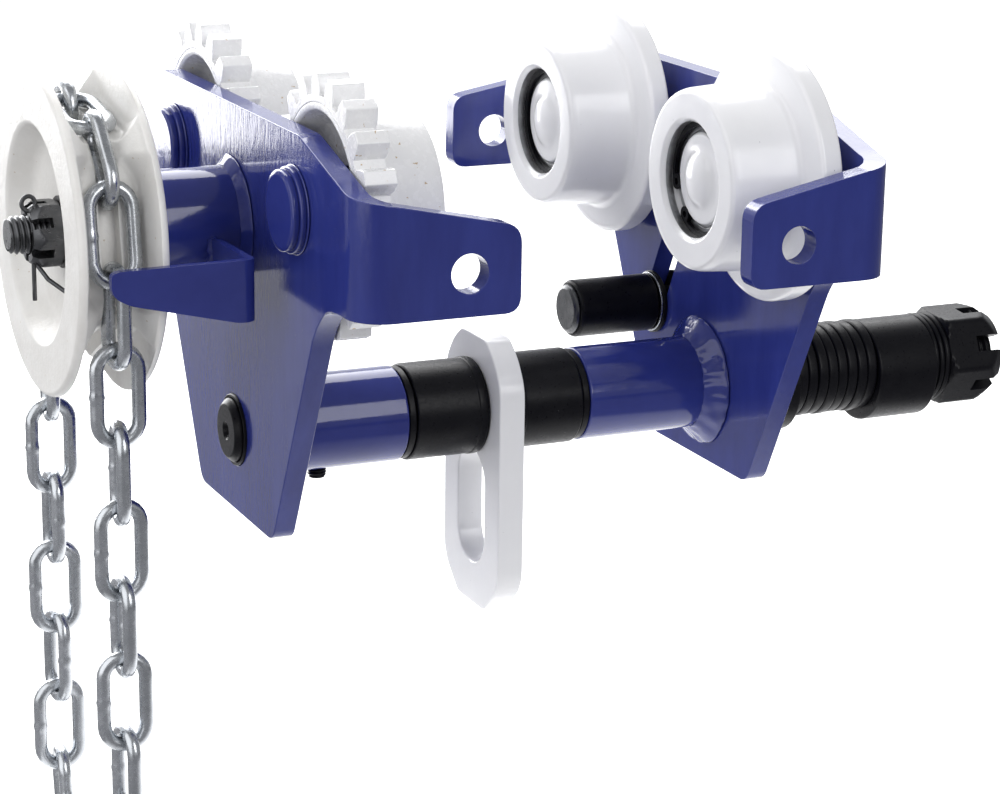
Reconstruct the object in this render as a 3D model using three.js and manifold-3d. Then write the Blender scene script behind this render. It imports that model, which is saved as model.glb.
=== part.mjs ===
// Geared beam trolley: two side plates on a load bar, four flanged wheels, a hand wheel with its chain.
// Millimetres, +Z up. X runs across the beam along the load bar, Y along the beam.
// The origin is on the running surface, midway between the side plates and midway between the axles.
import * as THREE from 'three';
import { mergeVertices } from 'three/addons/utils/BufferGeometryUtils.js';
import Module from 'manifold-3d';

const wasm = await Module();
wasm.setup();

// ---------- driving dimensions ----------
const FIT = 0.3; // clearance kept between touching pieces
const PLATE_GAP = 185.5; // between the inner faces of the side plates
const PLATE_T = 8; // side plate thickness
const AXLE_TO_BAR = 95.1; // wheel axles down to the load bar
const TREAD_R = 32.6; // wheel tread at the wheel's open face
const TREAD_RISE = 2.4; // how much the tread grows towards the flange

const MODULE = 4.2; // gear module
const WHEEL_TEETH = 20;
const PINION_TEETH = 12;
const ADDENDUM = 0.9; // in modules
const DEDENDUM = 1.15; // in modules
const BACKLASH = 0.7; // along the pitch circle, per gear
const PINION_DROP = 16; // pinion axis below the wheel axles

const BAR_R = 12; // load bar radius
const BAR_FIT = 0.4; // radial clearance of what is threaded on the bar
const TUBE_R = 18; // spacer tubes
const BUSH_R = 18.4; // black bushes either side of the load plate
const RING_R = 17.6;
const RING_T = 2.7;
const GEARED_TUBE_L = 54.1;
const BUSH_GEARED_L = 29.3;
const LOAD_PLATE_T = 10.4;
const BUSH_PLAIN_L = 28;
const SLEEVE_R = 20.4;
const SLEEVE_BORE_R = 15;
const SLEEVE_L = 26.9;
const WASHER_R = 18.3;
const WASHER_T = 4.2;
const WASHER_COUNT = 8;
const NUT_WASHER_T = 2.1;
const NUT_WASHER_COUNT = 3;
const BAR_NUT_AF = 36;
const BAR_NUT_L = 25.5;
const BAR_NUT_SLOT_DEPTH = 10;
const BAR_NUT_SLOT_W = 5.5;
const BAR_END_PROUD = 2.8; // bar end beyond the geared plate
const BAR_CHAMFER = 1.8;
const BAR_SEAT_FIT = 1.4; // radial gap round the bar in the geared plate
const BAR_PIN_OVER = 6; // split pin longer than the nut is wide

const BOTTOM_HALF = 40; // side plate outline, from the load bar axis
const BOTTOM_DEPTH = 31;
const BOTTOM_CHAMFER = 4;
const WAIST_IN = 41; // widest point of the taper, in from the bent end's outer face
const WAIST_Z = 57;
const NECK_IN = 28;
const NECK_CHAMFER = 4;
const TOP_IN = 54;
const TOP_Z = 121.3;
const SHOULDER_Z = 108.6;
const WHEEL_TO_END = 5.53; // largest wheel radius to the inner face of a bent end
const BEND_OUT_R = 12.5;
const END_LENGTH = 57.5; // bent end, from the plate's outer face
const PLAIN_FAR_EXTRA = 7; // the plain plate's far end is this much longer
const END_BOTTOM_Z = 67.8;
const END_TIP_Z = 97.2;
const END_CORNER_R = 6;
const END_HOLE_R = 6.7;
const END_HOLE_SETBACK = 18.5; // from the free edge of the bent end
const END_HOLE_Z = 82.5;

const AXLE_R = 9.7;
const AXLE_SHOULDER_R = 12.5;
const AXLE_HEAD_R = 14.5;
const AXLE_HEAD_STEP = 3.6;
const AXLE_GROOVE_R = 12.8;
const AXLE_GROOVE_W = 0.5;
const DOME_R = 17;
const DOME_RISE = 4;
const BEARING_R = 21;
const BEARING_W = 12;
const CIRCLIP_W = 1.6;
const CIRCLIP_DEPTH = 4.6; // wheel face to circlip
const CIRCLIP_BAND = 2.4;
const CIRCLIP_GAP = 0.35; // half angle of its opening, radians
const PLAIN_WHEEL_W = 37.2;
const PLAIN_WHEEL_CLEAR = 5.6; // wheel back to side plate
const FLANGE_R = 46.2;
const FLANGE_W = 9;
const FLANGE_BEVEL = 1.5;
const GEARED_WHEEL_W = 33.2;
const GEARED_WHEEL_CLEAR = 0.8;
const GEAR_W = 11.5;
const HOLLOW_R = 30; // hollow in the geared wheel's back
const HOLLOW_DEPTH = 11;

const HOUSING_R = 19.7; // drive shaft housing
const HOUSING_L = 38;
const SHAFT_R = 9.7;
const SHAFT_THREAD_R = 6.9;
const SHAFT_TIP_X = 82.75; // free end, from the geared plate's outer face
const HAND_WHEEL_R = 57.7;
const HAND_WHEEL_W = 31.5;
const HAND_WHEEL_BACK = 41.5; // its back rim, from the plate's outer face
const DISH_R = 38.8;
const DISH_FLOOR_R = 31;
const DISH_DEPTH = 10.25;
const RIM_EDGE = 3.1;
const GROOVE_R = 35.5;
const GROOVE_W = 10;
const HUB_R = 20;
const HUB_PROUD = 2;
const SHAFT_NUT_AF = 22;
const SHAFT_NUT_L = 12.7;
const SHAFT_NUT_SLOT_DEPTH = 5.5;
const SHAFT_NUT_SLOT_W = 3.5;
const PIN_R = 1.5;
const SHAFT_PIN_OVER = 8; // split pin longer than the nut is wide

const CHAIN_PITCH = 28;
const CHAIN_R = 44.8; // strands either side of the hand wheel's axis
const CHAIN_HALF = 5; // half depth of the chain's band
const CHAIN_W = 7;
const CHAIN_DROP_LINKS = 8; // links in each hanging strand

const GUIDE_T = 3; // chain guide sheet
const GUIDE_X = 12; // its arm on the housing, from the plate's outer face
const GUIDE_TIP_X = 63.5;
const GUIDE_Y = 62;
const GUIDE_TOP = 0.7; // below the pinion axis
const GUIDE_DEPTH = 22;
const GUIDE_TIP_DEPTH = 8;
const GUIDE_BEND_R = 4;

const LOAD_HALF = 26; // load plate outline, about the bar axis
const LOAD_TOP = 28;
const LOAD_BOTTOM = 79.5;
const LOAD_CHAMFER = 12;
const LOAD_HOLE_FIT = 0.5; // radial clearance of its round hole on the load bar
const LOAD_BRIDGE = 5; // metal between the round hole and the slot
const LOAD_SLOT_BOTTOM = 63;

const ROLLER_R = 11.5; // anti-tilt roller on the plain plate
const ROLLER_L = 37.1;
const ROLLER_WALL = 3.8;
const ROLLER_Y = 40.5;
const ROLLER_Z = 23; // above the load bar
const STUD_R = 6;
const STUD_FLANGE_R = 12;
const STUD_FLANGE_T = 2.4;
const STUD_OUT = 12; // stud beyond the plain plate
const STUD_WASHER_T = 2;
const STUD_NUT_AF = 19;
const STUD_NUT_L = 8;
const SLOT_R = 7.5;
const SLOT_RUN = 34; // roller adjustment along the slanted slot
const SLOT_BELOW = 2;
const SLOT_LEAN = 0.469; // radians from upright

const SET_SCREW_R = 3.7;
const SET_SCREW_X = 24; // from the geared plate's inner face
const SET_SCREW_PROUD = 5.6;
const WELD_LEG = 4.2;

const ROUND = 16; // sides of a round piece
const WHEEL_ROUND = 24;
const HAND_WHEEL_ROUND = 28;

// ---------- derived places ----------
const axleZ = TREAD_R;
const barZ = axleZ - AXLE_TO_BAR;
const pinionZ = axleZ - PINION_DROP;
const gearCentres = (MODULE * (WHEEL_TEETH + PINION_TEETH)) / 2;
const axleY = Math.sqrt(gearCentres ** 2 - PINION_DROP ** 2);
const gearTipR = (MODULE * WHEEL_TEETH) / 2 + ADDENDUM * MODULE;
const endPlane = axleY + Math.max(FLANGE_R, gearTipR) + WHEEL_TO_END + PLATE_T;
const loadHoleR = BAR_R + LOAD_HOLE_FIT;
const gearedInner = -PLATE_GAP / 2;
const gearedOuter = gearedInner - PLATE_T;
const plainInner = PLATE_GAP / 2;
const plainOuter = plainInner + PLATE_T;
const handWheelX = gearedOuter - HAND_WHEEL_BACK - HAND_WHEEL_W / 2;
const bearingBoreR = AXLE_R + FIT;
const wheelBoreR = BEARING_R + 0.2;
const bearingFrom = CIRCLIP_DEPTH + CIRCLIP_W + FIT;
const bearingTo = bearingFrom + BEARING_W;

// ---------- shape helpers ----------
function outward(geometry) {
  const flat = geometry.clone();
  flat.deleteAttribute('normal');
  flat.deleteAttribute('uv');
  const merged = mergeVertices(flat, 1e-4);
  const p = merged.attributes.position;
  const index = merged.index.array;
  const kept = [];
  let volume = 0;
  const a = new THREE.Vector3();
  const b = new THREE.Vector3();
  const c = new THREE.Vector3();
  for (let i = 0; i < index.length; i += 3) {
    const [u, v, w] = [index[i], index[i + 1], index[i + 2]];
    if (u === v || v === w || w === u) continue;
    kept.push([u, v, w]);
    a.fromBufferAttribute(p, u);
    b.fromBufferAttribute(p, v);
    c.fromBufferAttribute(p, w);
    volume += a.dot(b.cross(c));
  }
  merged.setIndex(kept.flatMap(([u, v, w]) => (volume < 0 ? [u, w, v] : [u, v, w])));
  return merged;
}

function toSolid(geometry) {
  const g = outward(geometry);
  const mesh = new wasm.Mesh({
    numProp: 3,
    vertProperties: new Float32Array(g.attributes.position.array),
    triVerts: new Uint32Array(g.index.array),
  });
  return new wasm.Manifold(mesh);
}

function toGeometry(solid) {
  const mesh = solid.getMesh();
  const g = new THREE.BufferGeometry();
  g.setAttribute('position', new THREE.BufferAttribute(new Float32Array(mesh.vertProperties), 3));
  g.setIndex([...mesh.triVerts]);
  return g;
}

function cut(base, ...tools) {
  return toGeometry(tools.reduce((solid, tool) => solid.subtract(toSolid(tool)), toSolid(base)));
}

function join(base, ...tools) {
  return toGeometry(tools.reduce((solid, tool) => solid.add(toSolid(tool)), toSolid(base)));
}

function common(first, second) {
  return toGeometry(toSolid(first).intersect(toSolid(second)));
}

// a body turned about X from [radius, x] points
function turned(points, sides = ROUND) {
  const profile = points.map(([r, x]) => new THREE.Vector2(r, x));
  if (points[0][0] > 0 || points.at(-1)[0] > 0) profile.push(profile[0].clone());
  const g = new THREE.LatheGeometry(profile, sides);
  g.rotateZ(-Math.PI / 2);
  return outward(g);
}

function ring(x0, x1, outer, inner, sides = ROUND) {
  return turned([[inner, x0], [outer, x0], [outer, x1], [inner, x1]], sides);
}

function disc(x0, x1, r, sides = ROUND) {
  return turned([[0, x0], [r, x0], [r, x1], [0, x1]], sides);
}

function outline(points) {
  return new THREE.Shape(points.map(([u, v]) => new THREE.Vector2(u, v)));
}

// [y, z] outline drawn out along X from x0 to x1
function alongX(shape, x0, x1, curveSegments = 6) {
  const g = new THREE.ExtrudeGeometry(shape, { depth: x1 - x0, bevelEnabled: false, curveSegments });
  g.applyMatrix4(new THREE.Matrix4().set(0, 0, 1, x0, 1, 0, 0, 0, 0, 1, 0, 0, 0, 0, 0, 1));
  return outward(g);
}

// [x, z] outline drawn out along Y from y0 to y1
function alongY(shape, y0, y1, curveSegments = 6) {
  const g = new THREE.ExtrudeGeometry(shape, { depth: y1 - y0, bevelEnabled: false, curveSegments });
  g.rotateX(Math.PI / 2);
  g.translate(0, y1, 0);
  return outward(g);
}

// [x, y] outline drawn out along Z from z0 to z1
function alongZ(shape, z0, z1, curveSegments = 6) {
  const g = new THREE.ExtrudeGeometry(shape, { depth: z1 - z0, bevelEnabled: false, curveSegments });
  g.translate(0, 0, z0);
  return outward(g);
}

function box(x0, x1, y0, y1, z0, z1) {
  const g = new THREE.BoxGeometry(x1 - x0, y1 - y0, z1 - z0);
  g.translate((x0 + x1) / 2, (y0 + y1) / 2, (z0 + z1) / 2);
  return outward(g);
}

function moved(geometry, x, y, z) {
  return geometry.clone().translate(x, y, z);
}

// a slot with round ends, its first centre at (u, v), leaning from upright
function slotShape(u, v, r, run, lean) {
  const shape = new THREE.Shape();
  const [du, dv] = [-Math.sin(lean), Math.cos(lean)];
  shape.absarc(u, v, r, Math.PI + lean, 2 * Math.PI + lean, false);
  shape.absarc(u + du * run, v + dv * run, r, lean, Math.PI + lean, false);
  return shape;
}

// mirror an X-facing build made for the geared side onto the plain side
function mirrored(geometry) {
  return outward(geometry.clone().scale(-1, 1, 1));
}

function involute(angle) {
  return Math.tan(angle) - angle;
}

// toothed outline about (0, 0), a tooth centred on the angle phase
function gearShape(teeth, phase) {
  const pressure = (20 * Math.PI) / 180;
  const pitchR = (MODULE * teeth) / 2;
  const baseR = pitchR * Math.cos(pressure);
  const tipR = pitchR + ADDENDUM * MODULE;
  const rootR = pitchR - DEDENDUM * MODULE;
  const halfPitch = Math.PI / (2 * teeth) - BACKLASH / (2 * pitchR);
  const flank = [rootR, Math.max(rootR + 0.5, baseR), (pitchR + tipR) / 2 - 0.8, tipR];
  const half = flank.map((r) => {
    const at = Math.acos(Math.min(1, baseR / Math.max(r, baseR)));
    return halfPitch + involute(pressure) - involute(at);
  });
  const points = [];
  for (let tooth = 0; tooth < teeth; tooth += 1) {
    const mid = phase + (2 * Math.PI * tooth) / teeth;
    const rising = flank.map((r, i) => [r, mid - half[i]]);
    const falling = flank.map((r, i) => [r, mid + half[i]]).reverse();
    for (const [r, a] of [...rising, ...falling]) points.push([r * Math.cos(a), r * Math.sin(a)]);
  }
  return outline(points);
}

function hexShape(acrossFlats, turn = 0) {
  const r = acrossFlats / 2 / Math.cos(Math.PI / 6);
  const corners = [];
  for (let i = 0; i < 6; i += 1) {
    const a = turn + (i * Math.PI) / 3;
    corners.push([r * Math.cos(a), r * Math.sin(a)]);
  }
  return outline(corners);
}

// castle nut with its slotted end towards +X, seat at x = 0
function castleNut(acrossFlats, length, boreR, slotDepth, slotW) {
  const flats = acrossFlats / 2;
  const blank = alongX(hexShape(acrossFlats), 0, length);
  const crownR = flats * 1.09;
  const edge = flats * 0.09;
  const envelope = turned([
    [0, 0], [flats, 0], [crownR, edge], [crownR, length - 2 * edge], [flats * 0.9, length], [0, length],
  ]);
  const bore = disc(-1, length + 1, boreR);
  const slots = [0, 1, 2].map((i) => {
    const slot = box(length - slotDepth, length + 1, -acrossFlats, acrossFlats, -slotW / 2, slotW / 2);
    return slot.rotateX(Math.PI / 6 + (i * Math.PI) / 3);
  });
  return cut(common(blank, envelope), bore, ...slots);
}

// ---------- materials ----------
const LOOKS = {
  bluePaint: [0x272c6e, 0.3, 0.1],
  whitePaint: [0xf1f0ec, 0.35, 0],
  castWhite: [0xe9e5dc, 0.5, 0],
  blackSteel: [0x26272c, 0.5, 0.6],
  greySteel: [0x6a6b6e, 0.45, 0.8],
  zinc: [0xb4b9bf, 0.3, 0.9],
};

function look(name) {
  const [color, roughness, metalness] = LOOKS[name];
  return new THREE.MeshStandardMaterial({ color, roughness, metalness });
}

const trolley = new THREE.Group();

function add(name, geometry, lookName, x = 0, y = 0, z = 0) {
  const mesh = new THREE.Mesh(geometry, look(lookName));
  mesh.name = name;
  mesh.position.set(x, y, z);
  trolley.add(mesh);
}

// ---------- side plates ----------
// one half of the plate's outline, [y, z] about the load bar axis
function plateHalf() {
  return [
    [BOTTOM_HALF - BOTTOM_CHAMFER, -BOTTOM_DEPTH],
    [BOTTOM_HALF + 1, -BOTTOM_DEPTH + BOTTOM_CHAMFER],
    [endPlane - WAIST_IN, WAIST_Z],
    [endPlane - NECK_IN - NECK_CHAMFER, END_BOTTOM_Z - NECK_CHAMFER],
    [endPlane - NECK_IN, END_BOTTOM_Z],
    [endPlane + 1, END_BOTTOM_Z],
    [endPlane + 1, SHOULDER_Z],
    [endPlane - BEND_OUT_R, SHOULDER_Z],
    [endPlane - TOP_IN, TOP_Z],
  ];
}

// plan of the bent sheet, outer face on x = 0, ends bent towards +X
function bentPlan(nearLength, farLength) {
  const inR = BEND_OUT_R - PLATE_T;
  const bendY = endPlane - BEND_OUT_R;
  const plan = new THREE.Shape();
  plan.moveTo(0, -bendY);
  plan.absarc(BEND_OUT_R, -bendY, BEND_OUT_R, Math.PI, 1.5 * Math.PI, false);
  plan.lineTo(nearLength, -endPlane);
  plan.lineTo(nearLength, -endPlane + PLATE_T);
  plan.lineTo(BEND_OUT_R, -endPlane + PLATE_T);
  plan.absarc(BEND_OUT_R, -bendY, inR, 1.5 * Math.PI, Math.PI, true);
  plan.lineTo(PLATE_T, bendY);
  plan.absarc(BEND_OUT_R, bendY, inR, Math.PI, 0.5 * Math.PI, true);
  plan.lineTo(farLength, endPlane - PLATE_T);
  plan.lineTo(farLength, endPlane);
  plan.lineTo(BEND_OUT_R, endPlane);
  plan.absarc(BEND_OUT_R, bendY, BEND_OUT_R, 0.5 * Math.PI, Math.PI, false);
  return plan;
}

// what is trimmed off a bent end: the sloping top and the rounded free corners, [x, z]
function endKeep(length) {
  const r = END_CORNER_R;
  const keep = new THREE.Shape();
  keep.moveTo(-1, END_BOTTOM_Z);
  keep.lineTo(length - r, END_BOTTOM_Z);
  keep.absarc(length - r, END_BOTTOM_Z + r, r, -Math.PI / 2, 0, false);
  keep.absarc(length - r, END_TIP_Z - r, r, 0, Math.PI / 2, false);
  keep.lineTo(-1, SHOULDER_Z + 1);
  return keep;
}

function endPiece(side, length, blank) {
  const inner = side * (endPlane - BEND_OUT_R);
  const outer = side * (endPlane + 2);
  const zone = alongY(endKeep(length), Math.min(inner, outer), Math.max(inner, outer));
  const hole = alongY(
    new THREE.Shape().absarc(length - END_HOLE_SETBACK, END_HOLE_Z, END_HOLE_R, 0, 2 * Math.PI, false),
    Math.min(inner, outer), Math.max(inner, outer), 8,
  );
  return cut(common(blank, zone), hole);
}

function sidePlate(farExtra) {
  const half = plateHalf();
  const whole = outline([...half, ...half.map(([y, z]) => [-y, z]).reverse()]);
  const farLength = END_LENGTH + farExtra;
  const blank = common(
    alongZ(bentPlan(END_LENGTH, farLength), -BOTTOM_DEPTH - 1, TOP_Z + 1),
    alongX(whole, -1, farLength + 1),
  );
  const reach = endPlane - BEND_OUT_R;
  const middle = common(blank, box(-1, farLength + 1, -reach, reach, -BOTTOM_DEPTH - 1, TOP_Z + 1));
  return join(middle, endPiece(-1, END_LENGTH, blank), endPiece(1, farLength, blank));
}

function plateHole(r, y, z) {
  return moved(disc(-1, PLATE_T + 1, r), 0, y, z);
}

function axleHoles() {
  return [-axleY, axleY].map((y) => plateHole(AXLE_R + FIT, y, AXLE_TO_BAR));
}

function gearedPlate() {
  const shaftHole = plateHole(SHAFT_R + FIT, 0, pinionZ - barZ);
  const barHole = plateHole(BAR_R + BAR_SEAT_FIT, 0, 0);
  const sheet = cut(sidePlate(0), shaftHole, barHole, ...axleHoles());
  add('geared_side_plate', sheet, 'bluePaint', gearedOuter, 0, barZ);
}

function plainPlate() {
  const barHole = plateHole(BAR_R + BAR_FIT, 0, 0);
  const low = SLOT_BELOW;
  const slot = alongX(
    slotShape(
      ROLLER_Y + low * Math.sin(SLOT_LEAN), ROLLER_Z - low * Math.cos(SLOT_LEAN),
      SLOT_R, SLOT_RUN + low, SLOT_LEAN,
    ),
    -1, PLATE_T + 1,
  );
  const plate = mirrored(cut(sidePlate(PLAIN_FAR_EXTRA), barHole, slot, ...axleHoles()));
  add('plain_side_plate', plate, 'bluePaint', plainOuter, 0, barZ);
}

// ---------- wheels, bearings, axles ----------
// wheel profiles run from the open face (w = 0) back towards the side plate
function plainWheel() {
  const flangeFrom = PLAIN_WHEEL_W - FLANGE_W;
  const treadEnd = TREAD_R + TREAD_RISE;
  return turned([
    [wheelBoreR, 0], [TREAD_R - 1.2, 0], [TREAD_R, 1.2],
    [treadEnd, flangeFrom], [FLANGE_R - FLANGE_BEVEL, flangeFrom],
    [FLANGE_R, flangeFrom + FLANGE_BEVEL], [FLANGE_R, PLAIN_WHEEL_W - 1], [FLANGE_R - 1, PLAIN_WHEEL_W],
    [AXLE_SHOULDER_R + 1, PLAIN_WHEEL_W], [AXLE_SHOULDER_R + 1, bearingTo + FIT],
    [wheelBoreR, bearingTo + FIT],
  ], WHEEL_ROUND);
}

function gearedWheel(phase) {
  const gearFrom = GEARED_WHEEL_W - GEAR_W;
  const rootR = (MODULE * WHEEL_TEETH) / 2 - DEDENDUM * MODULE;
  const floor = GEARED_WHEEL_W - HOLLOW_DEPTH;
  const body = turned([
    [wheelBoreR, 0], [TREAD_R - 1.2, 0], [TREAD_R, 1.2],
    [TREAD_R + TREAD_RISE, gearFrom], [rootR + 0.2, gearFrom], [rootR + 0.2, GEARED_WHEEL_W],
    [HOLLOW_R, GEARED_WHEEL_W], [HOLLOW_R - 4, floor], [AXLE_SHOULDER_R + 1, floor],
    [AXLE_SHOULDER_R + 1, bearingTo + FIT], [wheelBoreR, bearingTo + FIT],
  ], WHEEL_ROUND);
  const gearRing = gearShape(WHEEL_TEETH, phase);
  gearRing.holes.push(new THREE.Path().absarc(0, 0, rootR - 3, 0, 2 * Math.PI, true));
  return join(body, alongX(gearRing, gearFrom, GEARED_WHEEL_W, 12));
}

function bearing() {
  return ring(bearingFrom, bearingTo, BEARING_R, bearingBoreR);
}

function circlip() {
  const outer = BEARING_R - FIT;
  const inner = outer - CIRCLIP_BAND;
  const shape = new THREE.Shape();
  shape.absarc(0, 0, outer, -Math.PI / 2 + CIRCLIP_GAP, 1.5 * Math.PI - CIRCLIP_GAP, false);
  shape.absarc(0, 0, inner, 1.5 * Math.PI - CIRCLIP_GAP, -Math.PI / 2 + CIRCLIP_GAP, true);
  return alongX(shape, CIRCLIP_DEPTH, CIRCLIP_DEPTH + CIRCLIP_W, 10);
}

// axle, measured from the wheel's open face back through the side plate
function axle(plateInner) {
  const plateOuter = plateInner + PLATE_T;
  const head = plateOuter + FIT;
  const groove = head + AXLE_HEAD_STEP;
  const cap = groove + AXLE_GROOVE_W;
  const domeBack = bearingFrom - FIT;
  return turned([
    [0, domeBack - DOME_RISE], [DOME_R * 0.6, domeBack - 0.8 * DOME_RISE],
    [DOME_R, domeBack - 0.8], [DOME_R, domeBack],
    [AXLE_R, domeBack], [AXLE_R, bearingTo + FIT], [AXLE_SHOULDER_R, bearingTo + FIT],
    [AXLE_SHOULDER_R, plateInner - FIT], [AXLE_R, plateInner - FIT],
    [AXLE_R, head], [AXLE_HEAD_R, head], [AXLE_HEAD_R, groove], [AXLE_GROOVE_R, groove],
    [AXLE_GROOVE_R, cap], [AXLE_HEAD_R - 0.4, cap], [AXLE_HEAD_R - 0.4, cap + AXLE_HEAD_STEP],
    [0, cap + AXLE_HEAD_STEP],
  ]);
}

function wheelSet(side, place, y, wheel, width, clear) {
  const toPlate = width + clear;
  const face = side < 0 ? gearedInner + toPlate : plainInner - toPlate;
  const facing = (geometry) => (side < 0 ? mirrored(geometry) : geometry);
  const kind = side < 0 ? 'geared' : 'plain';
  add(`${kind}_wheel_${place}`, facing(wheel), 'whitePaint', face, y, axleZ);
  add(`${kind}_bearing_${place}`, facing(bearing()), 'greySteel', face, y, axleZ);
  add(`${kind}_circlip_${place}`, facing(circlip()), 'blackSteel', face, y, axleZ);
  add(`${kind}_axle_${place}`, facing(axle(toPlate)), 'bluePaint', face, y, axleZ);
}

// tooth phases that mesh with the pinion, whose tooth points at the near wheel
function wheelPhase(y) {
  const toWheel = Math.atan2(PINION_DROP, y);
  const pinionPitch = (2 * Math.PI) / PINION_TEETH;
  const offset = (nearDirection - toWheel) % pinionPitch;
  const follow = (-offset * PINION_TEETH) / WHEEL_TEETH;
  return toWheel + Math.PI + Math.PI / WHEEL_TEETH + follow;
}

const nearDirection = Math.atan2(PINION_DROP, -axleY);

function wheels() {
  for (const [place, y] of [['near', -axleY], ['far', axleY]]) {
    wheelSet(-1, place, y, gearedWheel(wheelPhase(y)), GEARED_WHEEL_W, GEARED_WHEEL_CLEAR);
    wheelSet(1, place, y, plainWheel(), PLAIN_WHEEL_W, PLAIN_WHEEL_CLEAR);
  }
}

// ---------- load bar and what is threaded on it ----------
// run lengths along the bar from the geared plate's inner face, each followed by a fit gap
function placeAlong(start, lengths) {
  let x = start;
  return lengths.map((length) => {
    const from = x;
    x += length + FIT;
    return [from, from + length];
  });
}

function tubeWeld(x, direction) {
  const inner = TUBE_R + FIT;
  return turned([[inner, x], [inner + WELD_LEG, x], [inner, x + direction * WELD_LEG]]);
}

function barPieces() {
  const [tube, ringA, bushA, plate, bushB, ringB] = placeAlong(
    gearedInner + FIT, [GEARED_TUBE_L, RING_T, BUSH_GEARED_L, LOAD_PLATE_T, BUSH_PLAIN_L, RING_T],
  );
  const bore = BAR_R + BAR_FIT;
  const screwX = gearedInner + SET_SCREW_X;
  const screwHole = new THREE.CylinderGeometry(SET_SCREW_R + FIT, SET_SCREW_R + FIT, TUBE_R, ROUND);
  screwHole.rotateX(Math.PI / 2);
  screwHole.translate(screwX, 0, -TUBE_R);
  add('geared_spacer_tube', cut(ring(...tube, TUBE_R, bore), screwHole), 'bluePaint', 0, 0, barZ);
  add('geared_tube_weld', tubeWeld(gearedInner + FIT, 1), 'bluePaint', 0, 0, barZ);
  add('bush_ring_geared', ring(...ringA, RING_R, bore), 'blackSteel', 0, 0, barZ);
  add('bush_geared', ring(...bushA, BUSH_R, bore), 'blackSteel', 0, 0, barZ);
  add('load_plate', loadPlate(...plate), 'whitePaint', 0, 0, barZ);
  add('bush_plain', ring(...bushB, BUSH_R, bore), 'blackSteel', 0, 0, barZ);
  add('bush_ring_plain', ring(...ringB, RING_R, bore), 'blackSteel', 0, 0, barZ);
  add('plain_spacer_tube', ring(ringB[1] + FIT, plainInner - FIT, TUBE_R, bore), 'bluePaint', 0, 0, barZ);
  add('plain_tube_weld', tubeWeld(plainInner - FIT, -1), 'bluePaint', 0, 0, barZ);
  add('tube_set_screw', setScrew(), 'blackSteel', screwX, 0, barZ);
}

function setScrew() {
  const length = TUBE_R + SET_SCREW_PROUD - BAR_R - FIT;
  const g = new THREE.CylinderGeometry(SET_SCREW_R, SET_SCREW_R, length, ROUND);
  g.rotateX(Math.PI / 2);
  g.translate(0, 0, -(BAR_R + FIT) - length / 2);
  return outward(g);
}

function loadPlate(x0, x1) {
  const c = LOAD_CHAMFER;
  const half = [[LOAD_HALF - c, LOAD_TOP], [LOAD_HALF, LOAD_TOP - c]];
  const low = [[LOAD_HALF, c - LOAD_BOTTOM], [LOAD_HALF - c, -LOAD_BOTTOM]];
  const right = [...half, ...low];
  const shape = outline([...right, ...right.map(([y, z]) => [-y, z]).reverse()]);
  const slotLow = LOAD_SLOT_BOTTOM - loadHoleR;
  const slotHigh = 2 * loadHoleR + LOAD_BRIDGE;
  shape.holes.push(slotShape(0, -slotLow, loadHoleR, slotLow - slotHigh, 0));
  shape.holes.push(slotShape(0, 0, loadHoleR, 0, 0));
  return alongX(shape, x0, x1, 10);
}

function stackPieces() {
  const drop = SLEEVE_BORE_R - BAR_R - FIT;
  const bore = BAR_R + BAR_FIT;
  const thin = Array(WASHER_COUNT).fill(WASHER_T);
  const last = Array(NUT_WASHER_COUNT).fill(NUT_WASHER_T);
  const spans = placeAlong(plainOuter + FIT, [SLEEVE_L, ...thin, SLEEVE_L, ...last]);
  const sleeve = (name, span) => {
    add(name, ring(...span, SLEEVE_R, SLEEVE_BORE_R), 'blackSteel', 0, 0, barZ - drop);
  };
  sleeve('sleeve_inner', spans[0]);
  sleeve('sleeve_outer', spans[WASHER_COUNT + 1]);
  spans.slice(1, WASHER_COUNT + 1).forEach((span, i) => {
    add(`width_washer_${i + 1}`, ring(...span, WASHER_R, bore), 'blackSteel', 0, 0, barZ);
  });
  spans.slice(WASHER_COUNT + 2).forEach((span, i) => {
    add(`nut_washer_${i + 1}`, ring(...span, WASHER_R, bore), 'blackSteel', 0, 0, barZ);
  });
  return spans.at(-1)[1] + FIT;
}

function barEnd(nutX) {
  const nut = castleNut(BAR_NUT_AF, BAR_NUT_L, BAR_R + FIT, BAR_NUT_SLOT_DEPTH, BAR_NUT_SLOT_W);
  add('bar_castle_nut', nut, 'blackSteel', nutX, 0, barZ);
  const start = gearedOuter - BAR_END_PROUD;
  const end = nutX + BAR_NUT_L - 1;
  const pinX = nutX + BAR_NUT_L - BAR_NUT_SLOT_DEPTH / 2;
  const c = BAR_CHAMFER;
  const bar = turned([
    [0, start], [BAR_R - c, start], [BAR_R, start + c],
    [BAR_R, end - c], [BAR_R - c, end], [0, end],
  ]);
  const pinR = BAR_NUT_SLOT_W / 2 - 0.6;
  const turn = Math.PI / 6;
  const hole = moved(crossRod(pinR + FIT, 2 * BAR_NUT_AF), pinX, 0, 0).rotateX(turn);
  const pin = moved(crossRod(pinR, BAR_NUT_AF + BAR_PIN_OVER), pinX, 0, 0).rotateX(turn);
  add('load_bar', cut(bar, hole), 'blackSteel', 0, 0, barZ);
  add('bar_split_pin', pin, 'greySteel', 0, 0, barZ);
}

// a round rod across X, lying along Y
function crossRod(r, length) {
  return outward(new THREE.CylinderGeometry(r, r, length, ROUND));
}

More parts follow.
